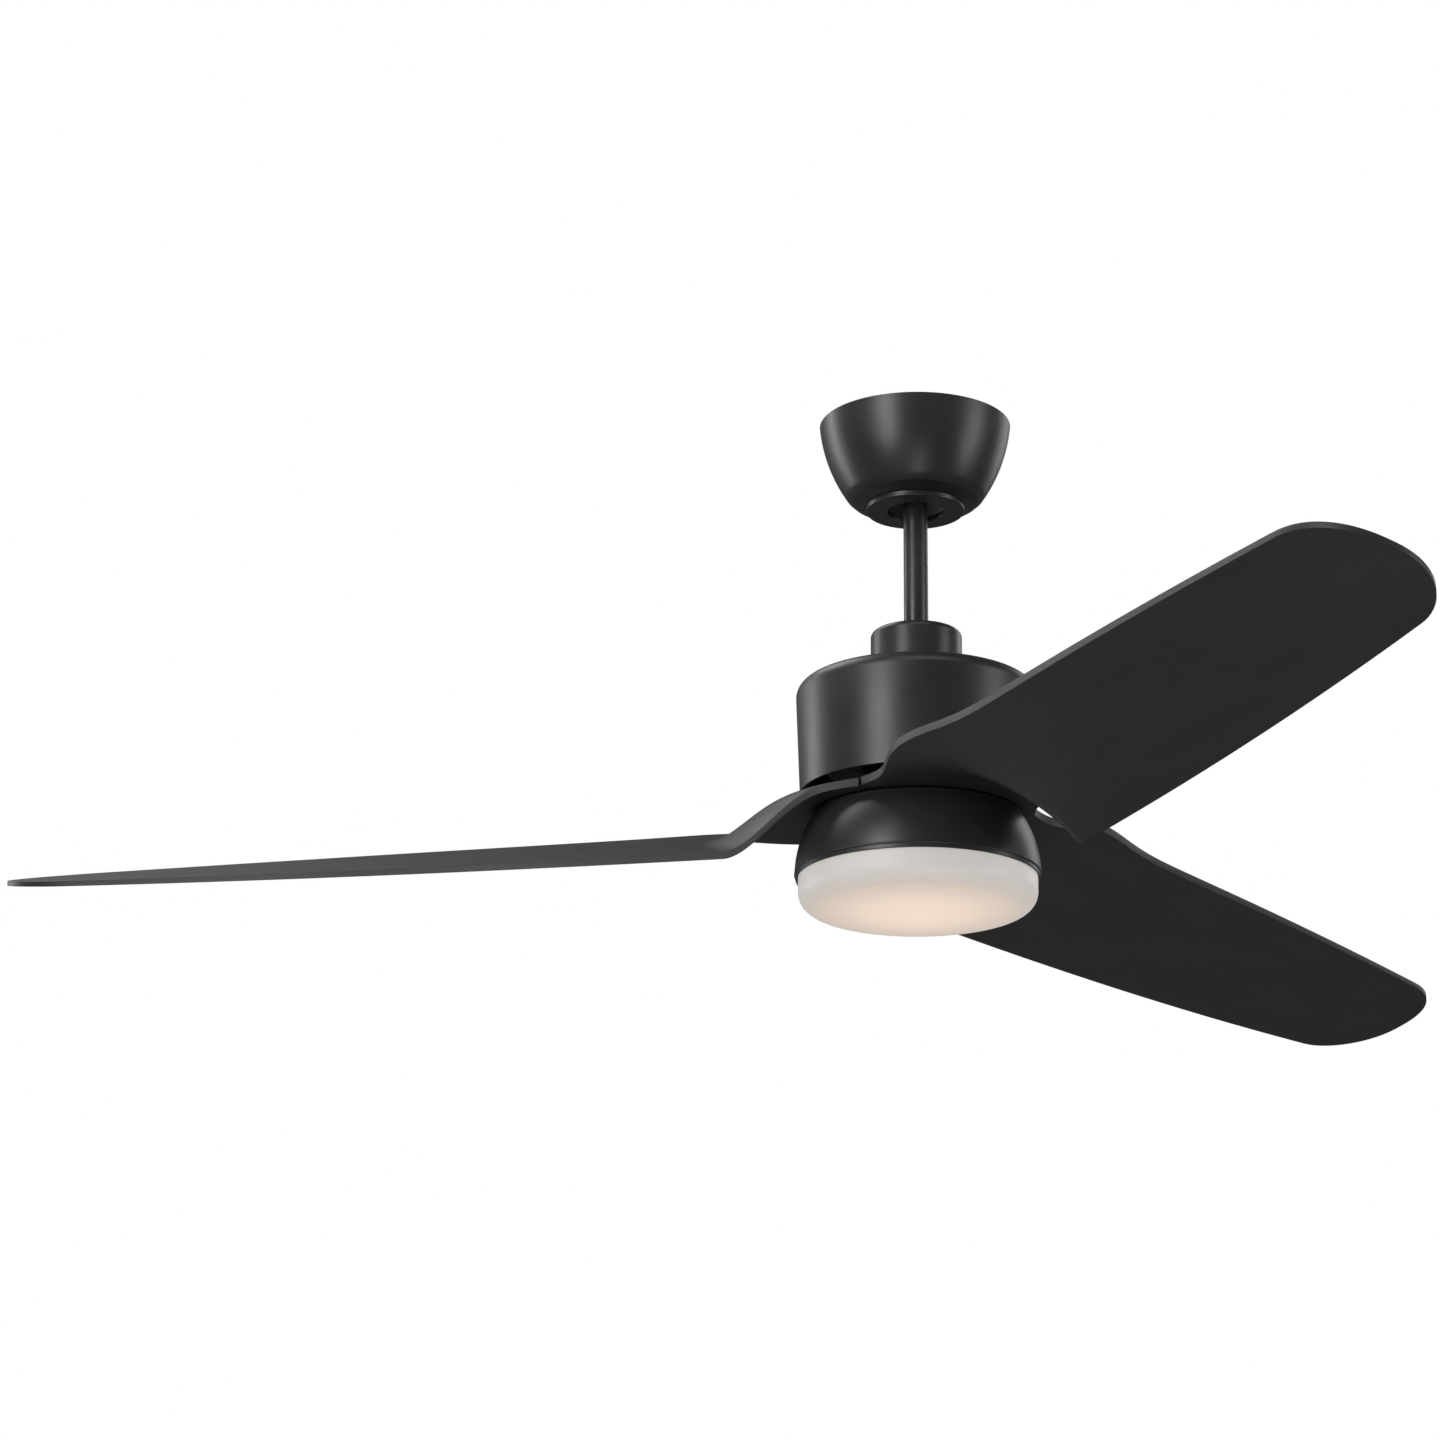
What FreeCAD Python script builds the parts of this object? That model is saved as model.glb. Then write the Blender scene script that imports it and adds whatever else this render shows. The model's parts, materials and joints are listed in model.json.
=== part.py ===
"""Ceiling fan with three blades and a light, hung from a ball joint on a downrod.

Frame: origin at the ceiling plane on the fan's axis, +Z up, so everything hangs at negative Z.
Millimetres and degrees.
"""
import FreeCAD
import Part
import math
import os

V = FreeCAD.Vector
UP = V(0, 0, 1)

# ---- driving dimensions -------------------------------------------------------------------
slip = 0.05               # radial clearance of a slip fit inside one body
air = 0.3                 # gap between faces of bodies that move past each other

# hanging parts
slot_spacing = 88.9       # between the bracket's two ceiling slots
slot_width = 5.5
slot_length = 14.0
bracket_plate = 2.5       # steel strap thickness
bracket_half_length = 56.0
bracket_half_width = 17.0
leg_half_width = 12.0
ball_drop = 38.0          # ceiling to the centre of the hanger ball
ball_r = 22.5
liner_wall = 1.5
cup_wall = 3.6
swing_limit = 11.0        # ball joint swing about X and about Y

# canopy
canopy_rim_r = 79.3
canopy_mid_r = 73.3
canopy_low_r = 56.6
canopy_drop = 70.5
canopy_wall = 1.4
ring_hole_r = 23.0
ring_h = 4.2
ring_flange = 0.8         # the ring's top plate, which the screw heads hold up
ring_edge = 7.6           # from the screw circle out to the ring's edge
floor_edge = 0.9          # the canopy's flat floor reaches this far past the ring
ring_twist = 20.0
canopy_screw_r = 2.0
canopy_head_r = 3.8
canopy_screw_room = 0.9   # between the bracket's legs and the canopy screws

# downrod and coupling
rod_r = 10.0
rod_wall = 2.0
cover_r = 35.8
cover_h = 46.0
cover_wall = 1.6
pin_r = 2.5               # clevis pin and ball cross pin
yoke_r = 17.0
yoke_h = 38.0
yoke_flange_r = 30.0
yoke_flange_h = 4.0

# motor
housing_drop = 229.0      # ceiling to the housing's top face
housing_h = 91.0
housing_top_r = 97.0
housing_low_r = 93.0
housing_wall = 2.2
housing_shoulder = 9.0
shaft_r = 8.5
shaft_bore_r = 5.5
stator_r = 62.0
stack_h = 25.0
stack_drop = 33.5         # housing top to the top of the lamination stack
teeth = 12
tooth_w = 10.0
tooth_tip = 4.0
stator_hub_r = 30.0
coil_w = 2.6
coil_overhang = 4.0
air_gap = 1.0
magnet_t = 6.0
poles = 16
shell_wall = 4.0
bearing_r = 20.0
bearing_w = 12.0
bearing_balls = 8
bearing_ball_r = 3.2
boss_wall = 4.0

# rotor hub and blades
blade_sweep_r = 762.0
blade_count = 3
first_blade_angle = 173.25
hub_disc_r = 78.0
hub_disc_t = 6.0
hub_neck_r = 26.0
hub_neck_wall = 6.0
hub_gap = 1.5             # housing's lower edge to the hub disc
gasket_t = 2.25
root_t = 6.5
tip_t = 4.2
root_inner_r = 31.0
seam_gap = 2.7
seam_turn = 8.08          # the root sector is turned this far towards the low edge
joint_r = 94.6            # outer end of the seams between neighbouring roots
flare_reach = 40.0        # the edges widen into the seams over this length
fold_bulge = 12.5         # widening of the high edge beside the fold
fold_bulge_x = 138.0
fold_bulge_inner = 40.0   # its spread towards the hub and towards the tip
fold_bulge_outer = 70.0
fold_dip = 3.0            # the high edge sags a little before it folds up
fold_dip_x = 128.0
fold_dip_spread = 35.0
fold_dip_start = 20.0     # the sag grows from this far off the centreline, over fold_dip_width
fold_dip_width = 50.0
half_chord = 72.7
chord_shift = 6.1
chord_taper = 13.2        # taken from each side by taper_at
taper_at = 650.0
centre_drop = 22.2        # outer blade's centreline below the root plate's middle
centre_slope = 0.0226
centre_curve = 0.0000105
pitch_slope = 0.396
pitch_loss = 0.07
pitch_span = 762.0        # the loss is reached over this length
fold_start = 112.0        # the fold between root plate and outer blade, on an oval
fold_end = 176.2
fold_squash = 1.186
fold_centre_y = -4.7
blade_screw_pitch_r = 58.0
blade_screw_spread = 35.0
blade_screw_r = 2.5

# light
bowl_gap = 2.0            # blade root to the bowl's top
bowl_h = 53.15
bowl_top_r = 85.6
bowl_mid_r = 96.0
bowl_lip_r = 99.7
bowl_wall = 1.8
plate_r = 46.0
plate_t = 3.0
nut_across = 24.0
nut_h = 7.0
standoff_pitch_r = 38.0
standoff_r = 4.0
sink_r = 86.0
sink_t = 2.5
sink_rim = 7.0
board_r = 70.0
board_t = 1.6
chip_w = 3.5
chip_t = 0.7
driver_size = (56.0, 30.0, 22.0)
diffuser_r = 96.5
diffuser_side = 13.0
diffuser_round = 14.0
diffuser_sag = 3.5
diffuser_wall = 2.5
neck_r = 91.5
neck_wall = 3.0
lug_out = 3.6
lug_t = 2.4
lug_width = 18.0
lug_count = 3
diffuser_twist = 26.0
lead_r = 1.0

# ---- levels worked out from them ----------------------------------------------------------
ball_z = -ball_drop
liner_in = ball_r + air
liner_out = liner_in + liner_wall
cup_in = liner_out + air
cup_out = cup_in + cup_wall
housing_top = -housing_drop
housing_low = housing_top - housing_h
stack_top = housing_top - stack_drop
stack_low = stack_top - stack_h
magnet_in = stator_r + air_gap
magnet_out = magnet_in + magnet_t
shell_in_top = stack_top + coil_overhang + 4.5
shell_in_low = stack_low - coil_overhang - 4.5
shell_out_r = magnet_out + shell_wall
hub_disc_top = housing_low - hub_gap
hub_disc_low = hub_disc_top - hub_disc_t
root_top = hub_disc_low - gasket_t
root_mid = root_top - root_t / 2
root_low = root_top - root_t
bowl_top = root_low - bowl_gap
lip_low = bowl_top - bowl_h
plate_top = bowl_top - bowl_wall
plate_low = plate_top - plate_t
shoulder_z = lip_low + 2.4            # diffuser shoulder, just inside the lip
gasket_low = shoulder_z + 0.4
bayonet_low = gasket_low + 1.2
bayonet_top = bayonet_low + 2.4
lug_low = bayonet_top + 0.4
board_low = lug_low + lug_t + 0.5
board_top = board_low + board_t
sink_low = board_top
sink_top = sink_low + sink_t
shaft_low = plate_low - nut_h - 2.0
yoke_seat = housing_top + 16.0        # step in the yoke's bore between shaft and rod
yoke_top = housing_top + yoke_h
pin_z = housing_top + 27.0
cover_low = housing_top + air
cover_top = cover_low + cover_h
ball_flat = ball_z + 16.0             # flat top of the hanger ball
rod_top = ball_flat - 2.0
leg_in = cup_out - 0.6                # the bracket's legs stand against the cup
leg_out = leg_in + bracket_plate
canopy_screw_pitch_r = leg_out + canopy_screw_room + canopy_screw_r
ring_r = canopy_screw_pitch_r + ring_edge
canopy_floor_r = ring_r + floor_edge
canopy_floor = -canopy_drop
ring_top = canopy_floor - air


# ---- helpers ------------------------------------------------------------------------------
def cyl(r, z0, z1, x=0.0, y=0.0):
    """Upright cylinder between two heights."""
    return Part.makeCylinder(r, abs(z1 - z0), V(x, y, min(z0, z1)))


def tube(r_out, r_in, z0, z1, x=0.0, y=0.0):
    return cyl(r_out, z0, z1, x, y).cut(cyl(r_in, min(z0, z1) - 1, max(z0, z1) + 1, x, y))


def box(x0, x1, y0, y1, z0, z1):
    return Part.makeBox(x1 - x0, y1 - y0, z1 - z0, V(x0, y0, z0))


def rounded_wire(points):
    """Closed wire in the XZ plane from (r, z) or (r, z, corner radius) points."""
    edges = []
    ends = []
    count = len(points)
    for i, point in enumerate(points):
        here = V(point[0], 0, point[1])
        radius = point[2] if len(point) > 2 else 0.0
        if radius == 0.0:
            ends.append((here, here, None))
            continue
        before = (V(points[i - 1][0], 0, points[i - 1][1]) - here).normalize()
        after = (V(points[(i + 1) % count][0], 0, points[(i + 1) % count][1]) - here).normalize()
        half = before.getAngle(after) / 2
        reach = radius / math.tan(half)
        centre = here + (before + after).normalize() * (radius / math.sin(half))
        middle = centre + (here - centre).normalize() * radius
        ends.append((here + before * reach, here + after * reach, middle))
    for i, (first, last, middle) in enumerate(ends):
        if middle is not None:
            edges.append(Part.Arc(first, middle, last).toShape())
        following = ends[(i + 1) % count][0]
        if (following - last).Length > 1e-6:
            edges.append(Part.makeLine(last, following))
    return Part.Wire(edges)


def turned(points):
    """Solid of revolution about the fan's axis from a rounded profile."""
    return Part.Face(rounded_wire(points)).revolve(V(0, 0, 0), UP, 360)


def arc_shell(top, middle, low, wall):
    """Thin shell of revolution whose side is an arc through three (r, z) points."""
    outer = Part.Arc(V(top[0], 0, top[1]), V(middle[0], 0, middle[1]), V(low[0], 0, low[1])).toShape()
    inner = Part.Arc(V(top[0] - wall, 0, top[1]), V(middle[0] - wall, 0, middle[1]),
                     V(low[0] - wall, 0, low[1])).toShape()
    a, b = V(top[0], 0, top[1]), V(top[0] - wall, 0, top[1])
    c, d = V(low[0], 0, low[1]), V(low[0] - wall, 0, low[1])
    wire = Part.Wire(Part.__sortEdges__([outer, inner, Part.makeLine(a, b), Part.makeLine(c, d)]))
    return Part.Face(wire).revolve(V(0, 0, 0), UP, 360)


def around(shape, angle, centre=(0, 0, 0), axis=UP):
    copy = shape.copy()
    copy.rotate(V(*centre), axis, angle)
    return copy


def ring_of(shape, count, start=0.0):
    """Copies of a shape at even angles about the fan's axis."""
    return [around(shape, start + 360.0 * i / count) for i in range(count)]


def at(radius, angle):
    return radius * math.cos(math.radians(angle)), radius * math.sin(math.radians(angle))


def hexagon(across, z0, z1, x=0.0, y=0.0):
    radius = across / math.sqrt(3)
    corners = [V(x + radius * math.cos(math.radians(60 * i + 30)),
                 y + radius * math.sin(math.radians(60 * i + 30)), min(z0, z1)) for i in range(7)]
    return Part.Face(Part.makePolygon(corners)).extrude(V(0, 0, abs(z1 - z0)))


def screw_up(x, y, seat, head_r, head_h, shank_r, length):
    """Pan-head screw driven upwards: the head hangs under the seat."""
    head = cyl(head_r, seat - head_h, seat, x, y)
    rim = [e for e in head.Edges if abs(e.BoundBox.ZMax - (seat - head_h)) < 1e-6]
    head = head.makeFillet(head_h * 0.4, rim)
    drive = box(x - head_r * 0.7, x + head_r * 0.7, y - head_r * 0.12, y + head_r * 0.12,
                seat - head_h - 0.1, seat - head_h * 0.55)
    drive = drive.fuse(around(drive, 90, (x, y, 0)))
    return head.fuse(cyl(shank_r, seat, seat + length, x, y)).cut(drive)


def screw_down(x, y, seat, head_r, head_h, shank_r, length):
    """The same screw driven downwards from the seat."""
    return around(screw_up(x, y, seat, head_r, head_h, shank_r, length), 180, (x, y, seat), V(1, 0, 0))


def wedge(r_in, r_out, z0, z1, centre_angle, width):
    """Ring sector of a given angular width."""
    sector = Part.makeCylinder(r_out, abs(z1 - z0), V(0, 0, min(z0, z1)), UP, width)
    sector = sector.cut(cyl(r_in, min(z0, z1) - 1, max(z0, z1) + 1))
    return around(sector, centre_angle - width / 2)


def lumps(solids):
    return Part.makeCompound(solids)


# ---- ceiling mount ------------------------------------------------------------------------
rod_slot = rod_r + 1.5                # half width of the side opening that the rod hooks in through
tab_inner = ball_r - 6.0              # anti-turn tab reaches into the ball's slot
ground_place = (leg_out + 6.5, -11.0)
cup_low = ball_z - 0.75 * cup_in
cup_high = ball_z - 2.0


def hanger_bracket():
    plate = box(-bracket_half_length, bracket_half_length, -bracket_half_width, bracket_half_width,
                -bracket_plate, 0)
    plate = plate.makeFillet(8.0, [e for e in plate.Edges if e.BoundBox.ZLength > bracket_plate - 0.1
                                   and e.BoundBox.XLength < 0.1 and e.BoundBox.YLength < 0.1])
    reach = (slot_length - slot_width) / 2
    for side in (-1, 1):
        x = side * slot_spacing / 2
        for end in (-reach, reach):
            plate = plate.cut(cyl(slot_width / 2, -bracket_plate - 1, 1, x + end, 0))
        plate = plate.cut(box(x - reach, x + reach, -slot_width / 2, slot_width / 2, -bracket_plate - 1, 1))
    cup = Part.makeSphere(cup_out, V(0, 0, ball_z)).cut(Part.makeSphere(cup_in, V(0, 0, ball_z)))
    cup = cup.common(cyl(cup_out + 1, cup_low, cup_high))
    cup = cup.cut(box(-rod_slot, rod_slot, -cup_out - 1, 0, cup_low - 1, cup_high + 1))
    tab = box(-2.0, 2.0, tab_inner, cup_out - 1.5, ball_z - 12.0, ball_z - 2.5)
    body = plate.fuse(cup).fuse(tab)
    foot_top = canopy_floor + canopy_wall + bracket_plate
    for side in (-1, 1):
        x0, x1 = sorted((side * leg_in, side * leg_out))
        body = body.fuse(box(x0, x1, -leg_half_width, leg_half_width, canopy_floor + canopy_wall, -0.5))
        x0, x1 = sorted((side * leg_in, side * (canopy_screw_pitch_r + 5.0)))
        foot = box(x0, x1, -8.0, 8.0, foot_top - bracket_plate, foot_top)
        foot = foot.cut(cyl(canopy_screw_r + slip, foot_top - 10, foot_top + 1,
                            side * canopy_screw_pitch_r, 0))
        body = body.fuse(foot)
    x, y = ground_place
    body = body.cut(cyl(2.0 + slip, -bracket_plate - 1, 1, x, y))
    return body.removeSplitter()


def ground_screw():
    return screw_up(ground_place[0], ground_place[1], -bracket_plate, 4.0, 2.6, 2.0, bracket_plate - 0.2)


def canopy():
    side = arc_shell((canopy_rim_r, 0.0), (canopy_mid_r, -0.40 * canopy_drop),
                     (canopy_low_r, canopy_floor + 8.5), canopy_wall)
    floor = turned([(canopy_low_r, canopy_floor + 8.5), (canopy_low_r - canopy_wall, canopy_floor + 8.5),
                    (canopy_low_r - canopy_wall - 4.5, canopy_floor + 5.0 + canopy_wall * 0.6, 3.0),
                    (canopy_floor_r, canopy_floor + canopy_wall),
                    (rod_r + 17.0, canopy_floor + canopy_wall), (rod_r + 17.0, canopy_floor),
                    (canopy_floor_r, canopy_floor), (canopy_low_r - 4.5, canopy_floor + 4.4, 4.0)])
    shell = side.fuse(floor)
    for hole in (-1, 1):
        shell = shell.cut(cyl(canopy_screw_r + slip, canopy_floor - 1, canopy_floor + 4,
                              hole * canopy_screw_pitch_r, 0))
    return shell.removeSplitter()


def canopy_screws():
    seat = ring_top - ring_flange - air      # under the ring's keyhole flange
    length = canopy_wall + bracket_plate + (canopy_floor - seat) + 3.0
    return lumps([screw_up(side * canopy_screw_pitch_r, 0, seat, canopy_head_r, 1.2, canopy_screw_r, length)
                  for side in (-1, 1)])


def canopy_ring():
    low = ring_top - ring_h
    ring = turned([(ring_hole_r, ring_top), (ring_r, ring_top), (ring_r, low, 1.2), (ring_hole_r, low, 1.0)])
    channel = tube(ring_r - 1.8, ring_hole_r + 1.8, low + 1.4, ring_top - ring_flange)
    ring = ring.cut(channel)
    for base in (0, 180):
        slot = wedge(canopy_screw_pitch_r - canopy_screw_r - air, canopy_screw_pitch_r + canopy_screw_r + air,
                     ring_top - ring_flange - 1, ring_top + 1, base + ring_twist / 2, ring_twist)
        x, y = at(canopy_screw_pitch_r, base)
        slot = slot.fuse(cyl(canopy_screw_r + air, ring_top - ring_flange - 1, ring_top + 1, x, y))
        x, y = at(canopy_screw_pitch_r, base + ring_twist)
        slot = slot.fuse(cyl(canopy_head_r + air + 0.2, ring_top - ring_flange - 1, ring_top + 1, x, y))
        ring = ring.cut(slot)
    return ring


def receiver():
    case = box(-leg_in + 3.0, leg_in - 3.0, -20.0, 20.0, -17.0, -bracket_plate - 1.0)
    case = case.makeFillet(1.5, case.Edges)
    return case


nut_places = [(-14.0, 46.0), (0.0, 48.0), (14.0, 46.0)]
nut_top = -22.0


def receiver_leads():
    """Three leads that leave the receiver's side and bend down into the wire connectors."""
    bend = 12.0
    level = -10.0
    leads = []
    for x, y in nut_places:
        a, b = V(x, 20.0, level), V(x, y - bend, level)
        c = V(x, y - bend + bend * math.sin(math.pi / 4), level - bend + bend * math.cos(math.pi / 4))
        d, e = V(x, y, level - bend), V(x, y, nut_top - 0.5)
        path = Part.Wire([Part.makeLine(a, b), Part.Arc(b, c, d).toShape(), Part.makeLine(d, e)])
        circle = Part.Wire(Part.makeCircle(lead_r, a, V(0, 1, 0)))
        leads.append(path.makePipeShell([circle], True, False))
    return lumps(leads)


def wire_nuts():
    nuts = []
    for x, y in nut_places:
        cone = Part.makeCone(3.0, 5.2, 18.0, V(x, y, nut_top - 18.5))
        rim = cyl(5.2, nut_top - 0.5, nut_top + 1.5, x, y)
        rim = rim.cut(cyl(lead_r + slip, nut_top - 0.5, nut_top + 2, x, y))
        nuts.append(cone.fuse(rim))
    return lumps(nuts)


def ball_liner():
    shell = Part.makeSphere(liner_out, V(0, 0, ball_z)).cut(Part.makeSphere(liner_in, V(0, 0, ball_z)))
    shell = shell.common(cyl(liner_out + 1, ball_z - 0.75 * liner_in, ball_z - 4.0))
    shell = shell.cut(box(-rod_slot, rod_slot, -liner_out - 1, 0, ball_z - ball_r * 1.5, ball_z))
    return shell.cut(box(-5.0, 5.0, 0, liner_out + 1, ball_z - ball_r * 1.5, ball_z))


# ---- hanging body -------------------------------------------------------------------------
def hanger_ball():
    ball = Part.makeSphere(ball_r, V(0, 0, ball_z))
    ball = ball.common(cyl(ball_r + 1, ball_z - 0.86 * ball_r, ball_flat))
    ball = ball.cut(cyl(rod_r + slip, ball_z - ball_r - 1, ball_flat + 1))
    ball = ball.cut(box(-5.0, 5.0, rod_r + 2.0, ball_r + 1, ball_z - ball_r, ball_flat + 1))
    ball = ball.cut(across_x(pin_r + slip, ball_z + 8.0, ball_r + 1))
    return ball.cut(Part.makeCylinder(2.5 + slip, ball_r, V(0, -ball_r - 1, ball_z - 8.0), V(0, 1, 0)))


def across_x(radius, z, half_length):
    return Part.makeCylinder(radius, 2 * half_length, V(-half_length, 0, z), V(1, 0, 0))


def ball_cross_pin():
    return across_x(pin_r, ball_z + 8.0, 17.0)


def ball_set_screw():
    start = -rod_r - slip
    shank = Part.makeCylinder(2.5, 8.0, V(0, start - 8.0, ball_z - 8.0), V(0, 1, 0))
    socket = Part.makeCylinder(1.3, 3.0, V(0, start - 8.1, ball_z - 8.0), V(0, 1, 0))
    return shank.cut(socket)


def downrod():
    rod = tube(rod_r, rod_r - rod_wall, yoke_seat + 1.0, rod_top)
    rod = rod.cut(across_x(pin_r + slip, ball_z + 8.0, rod_r + 1))
    return rod.cut(across_x(pin_r + slip, pin_z, rod_r + 1))


def motor_yoke():
    yoke = turned([(0, yoke_top), (yoke_r, yoke_top, 1.5), (yoke_r, housing_top + yoke_flange_h, 3.0),
                   (yoke_flange_r, housing_top + yoke_flange_h, 1.0), (yoke_flange_r, housing_top),
                   (0, housing_top)])
    yoke = yoke.cut(cyl(rod_r + slip, yoke_seat, yoke_top + 1))
    yoke = yoke.cut(cyl(shaft_r + slip, housing_top - 1, yoke_seat))
    yoke = yoke.cut(across_x(pin_r + slip, pin_z, yoke_r + 1))
    yoke = yoke.cut(Part.makeCylinder(3.0 + slip, 2 * yoke_r + 2, V(0, -yoke_r - 1, pin_z - 7.0), V(0, 1, 0)))
    for x, y in housing_screw_places:
        yoke = yoke.cut(cyl(2.0 + slip, housing_top - 1, housing_top + yoke_flange_h + 1, x, y))
    return yoke


housing_screw_places = [at(yoke_flange_r - 5.5, 45 + 90 * i) for i in range(4)]


def clevis_pin():
    pin = across_x(pin_r, pin_z, yoke_r + 6.0)
    head = Part.makeCylinder(pin_r + 2.0, 2.0, V(yoke_r + 0.5, 0, pin_z), V(1, 0, 0))
    hole = cyl(0.9 + slip, pin_z - 5, pin_z + 5, -yoke_r - 3.0, 0)
    return pin.fuse(head).cut(hole)


def cotter_pin():
    """Hairpin with one straight leg through the clevis pin and a looped end above it."""
    x = -yoke_r - 3.0
    leg = cyl(0.9, pin_z - 6.0, pin_z + 5.0, x, 0)
    loop = Part.makeTorus(2.2, 0.9, V(x, 0, pin_z + 7.6), V(1, 0, 0))
    return leg.fuse(loop)


def yoke_set_screws():
    screws = []
    for side in (-1, 1):
        start = side * (rod_r + slip)
        shank = Part.makeCylinder(3.0, yoke_r + 6.0 - rod_r, V(0, start, pin_z - 7.0), V(0, side, 0))
        end = side * (yoke_r + 6.0 + slip)
        head = box(-4.0, 4.0, min(end, end + side * 4), max(end, end + side * 4), pin_z - 11.0, pin_z - 3.0)
        screws.append(shank.fuse(head))
    return lumps(screws)


def yoke_jam_nuts():
    nuts = []
    for side in (-1, 1):
        nut = hexagon(10.0, 0, 3.0).cut(cyl(3.0 + slip, -1, 4))
        nut.rotate(V(0, 0, 0), V(1, 0, 0), -90 * side)
        nut.translate(V(0, side * (yoke_r + 0.6), pin_z - 7.0))
        nuts.append(nut)
    return lumps(nuts)


def coupling_cover():
    bore = rod_r + 0.4
    return turned([(bore, cover_top), (cover_r, cover_top, 3.2), (cover_r, cover_low),
                   (cover_r - cover_wall, cover_low), (cover_r - cover_wall, cover_top - cover_wall, 2.0),
                   (bore, cover_top - cover_wall)])


def motor_housing():
    inner_r = housing_top_r - housing_wall
    hole = shaft_r + slip
    shell = turned([(hole, housing_top), (housing_top_r, housing_top, housing_shoulder),
                    (housing_low_r, housing_low), (housing_low_r - housing_wall, housing_low),
                    (inner_r, housing_top - housing_wall, housing_shoulder - housing_wall),
                    (hole, housing_top - housing_wall)])
    for x, y in housing_screw_places:
        shell = shell.cut(cyl(2.0 + slip, housing_top - housing_wall - 1, housing_top + 1, x, y))
    return shell


def housing_screws():
    seat = housing_top + yoke_flange_h
    length = yoke_flange_h + housing_wall + 4.5
    return lumps([screw_down(x, y, seat, 3.8, 2.4, 2.0, length) for x, y in housing_screw_places])


def housing_nuts():
    top = housing_top - housing_wall
    return lumps([hexagon(7.0, top - 3.2, top, x, y).cut(cyl(2.0 + slip, top - 4, top + 1, x, y))
                  for x, y in housing_screw_places])


def motor_shaft():
    return tube(shaft_r, shaft_bore_r, shaft_low, yoke_seat - slip)


def stator_core():
    core = cyl(stator_r, stack_low, stack_top).cut(cyl(shaft_r + slip, stack_low - 1, stack_top + 1))
    half_pitch = math.pi / teeth
    inner, outer = stator_hub_r, stator_r - tooth_tip
    corners = []
    for radius, side in ((inner, -1), (outer, -1), (outer, 1), (inner, 1)):
        half = radius * math.tan(half_pitch) - tooth_w / 2 / math.cos(half_pitch)
        corners.append(V(radius, side * half, stack_low - 1))
    corners.append(corners[0])
    slot = Part.Face(Part.makePolygon(corners)).extrude(V(0, 0, stack_h + 2))
    slot = slot.fuse(box(outer - 1, stator_r + 1, -1.5, 1.5, stack_low - 1, stack_top + 1))
    for each in ring_of(slot, teeth, 180.0 / teeth):
        core = core.cut(each)
    return core


def stator_windings():
    inner, outer = stator_hub_r + 3.0, stator_r - tooth_tip - 2.0
    half = tooth_w / 2 + coil_w
    coil = box(inner, outer, -half, half, stack_low - coil_overhang, stack_top + coil_overhang)
    coil = coil.makeFillet(2.0, [e for e in coil.Edges if e.BoundBox.XLength > outer - inner - 0.1])
    tooth = tooth_w / 2 + slip
    coil = coil.cut(box(inner - 1, outer + 1, -tooth, tooth, stack_low - slip, stack_top + slip))
    return lumps(ring_of(coil, teeth))


def bearing_levels():
    """Lower ends of the two bearings."""
    return shell_in_top, shell_in_low - bearing_w


ball_track_r = (shaft_r + bearing_r) / 2
race_half = 2.6                       # half the radial gap between the races


def race(r_in, r_out, z):
    """Bearing race with a groove for the balls."""
    ring = tube(r_out, r_in, z, z + bearing_w)
    return ring.cut(Part.makeTorus(ball_track_r, bearing_ball_r + slip, V(0, 0, z + bearing_w / 2), UP))


def bearing_inner_races():
    return lumps([race(shaft_r + slip, ball_track_r - race_half, z) for z in bearing_levels()])


def bearing_outer_races():
    return lumps([race(ball_track_r + race_half, bearing_r, z) for z in bearing_levels()])


def bearing_ball_sets():
    balls = []
    for z in bearing_levels():
        ball = Part.makeSphere(bearing_ball_r, V(ball_track_r, 0, z + bearing_w / 2))
        balls += ring_of(ball, bearing_balls)
    return lumps(balls)


def motor_leads():
    top = rod_top - 6.0
    spot_r = shaft_bore_r - lead_r - 0.1
    places = [at(spot_r, angle) for angle in (62, 118, 242, 298)]
    return lumps([cyl(lead_r, driver_top, top, x, y) for x, y in places])


# ---- rotor --------------------------------------------------------------------------------
split_z = (stack_top + stack_low) / 2
shell_screw_places = [at(shell_out_r + 3.0, 30 + 60 * i) for i in range(6)]


def rotor_shell(disc_in, disc_out, lip_end):
    """Half of the rotor case: a disc with a bearing boss and half of the drum."""
    drum = tube(shell_out_r, magnet_out + slip, disc_in, split_z)
    disc = tube(shell_out_r, bearing_r + slip, disc_in, disc_out)
    boss = tube(bearing_r + boss_wall, bearing_r + slip, disc_in, lip_end)
    lip_back = lip_end + math.copysign(1.2, lip_end - disc_in)
    lip = tube(bearing_r + boss_wall, bearing_r - 2.0, lip_end, lip_back)
    shell = drum.fuse(disc).fuse(boss).fuse(lip)
    toward = math.copysign(8.0, disc_in - split_z)
    for x, y in shell_screw_places:
        shell = shell.fuse(cyl(4.5, split_z, split_z + toward, x, y))
    shell = shell.cut(cyl(magnet_out + slip, split_z, disc_in))
    for x, y in shell_screw_places:
        shell = shell.cut(cyl(1.6 + slip, split_z - 20, split_z + 20, x, y))
    return shell.removeSplitter()


def rotor_upper_shell():
    return rotor_shell(shell_in_top, shell_in_top + shell_wall, shell_in_top + bearing_w)


def rotor_lower_shell():
    shell = rotor_shell(shell_in_low, shell_in_low - shell_wall, shell_in_low - bearing_w)
    for x, y in hub_screw_places:
        shell = shell.cut(cyl(2.0 + slip, shell_in_low - shell_wall - 1, shell_in_low + 1, x, y))
    return shell


def rotor_screws():
    return lumps([screw_down(x, y, split_z + 8.0, 3.0, 2.0, 1.6, 15.0) for x, y in shell_screw_places])


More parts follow.
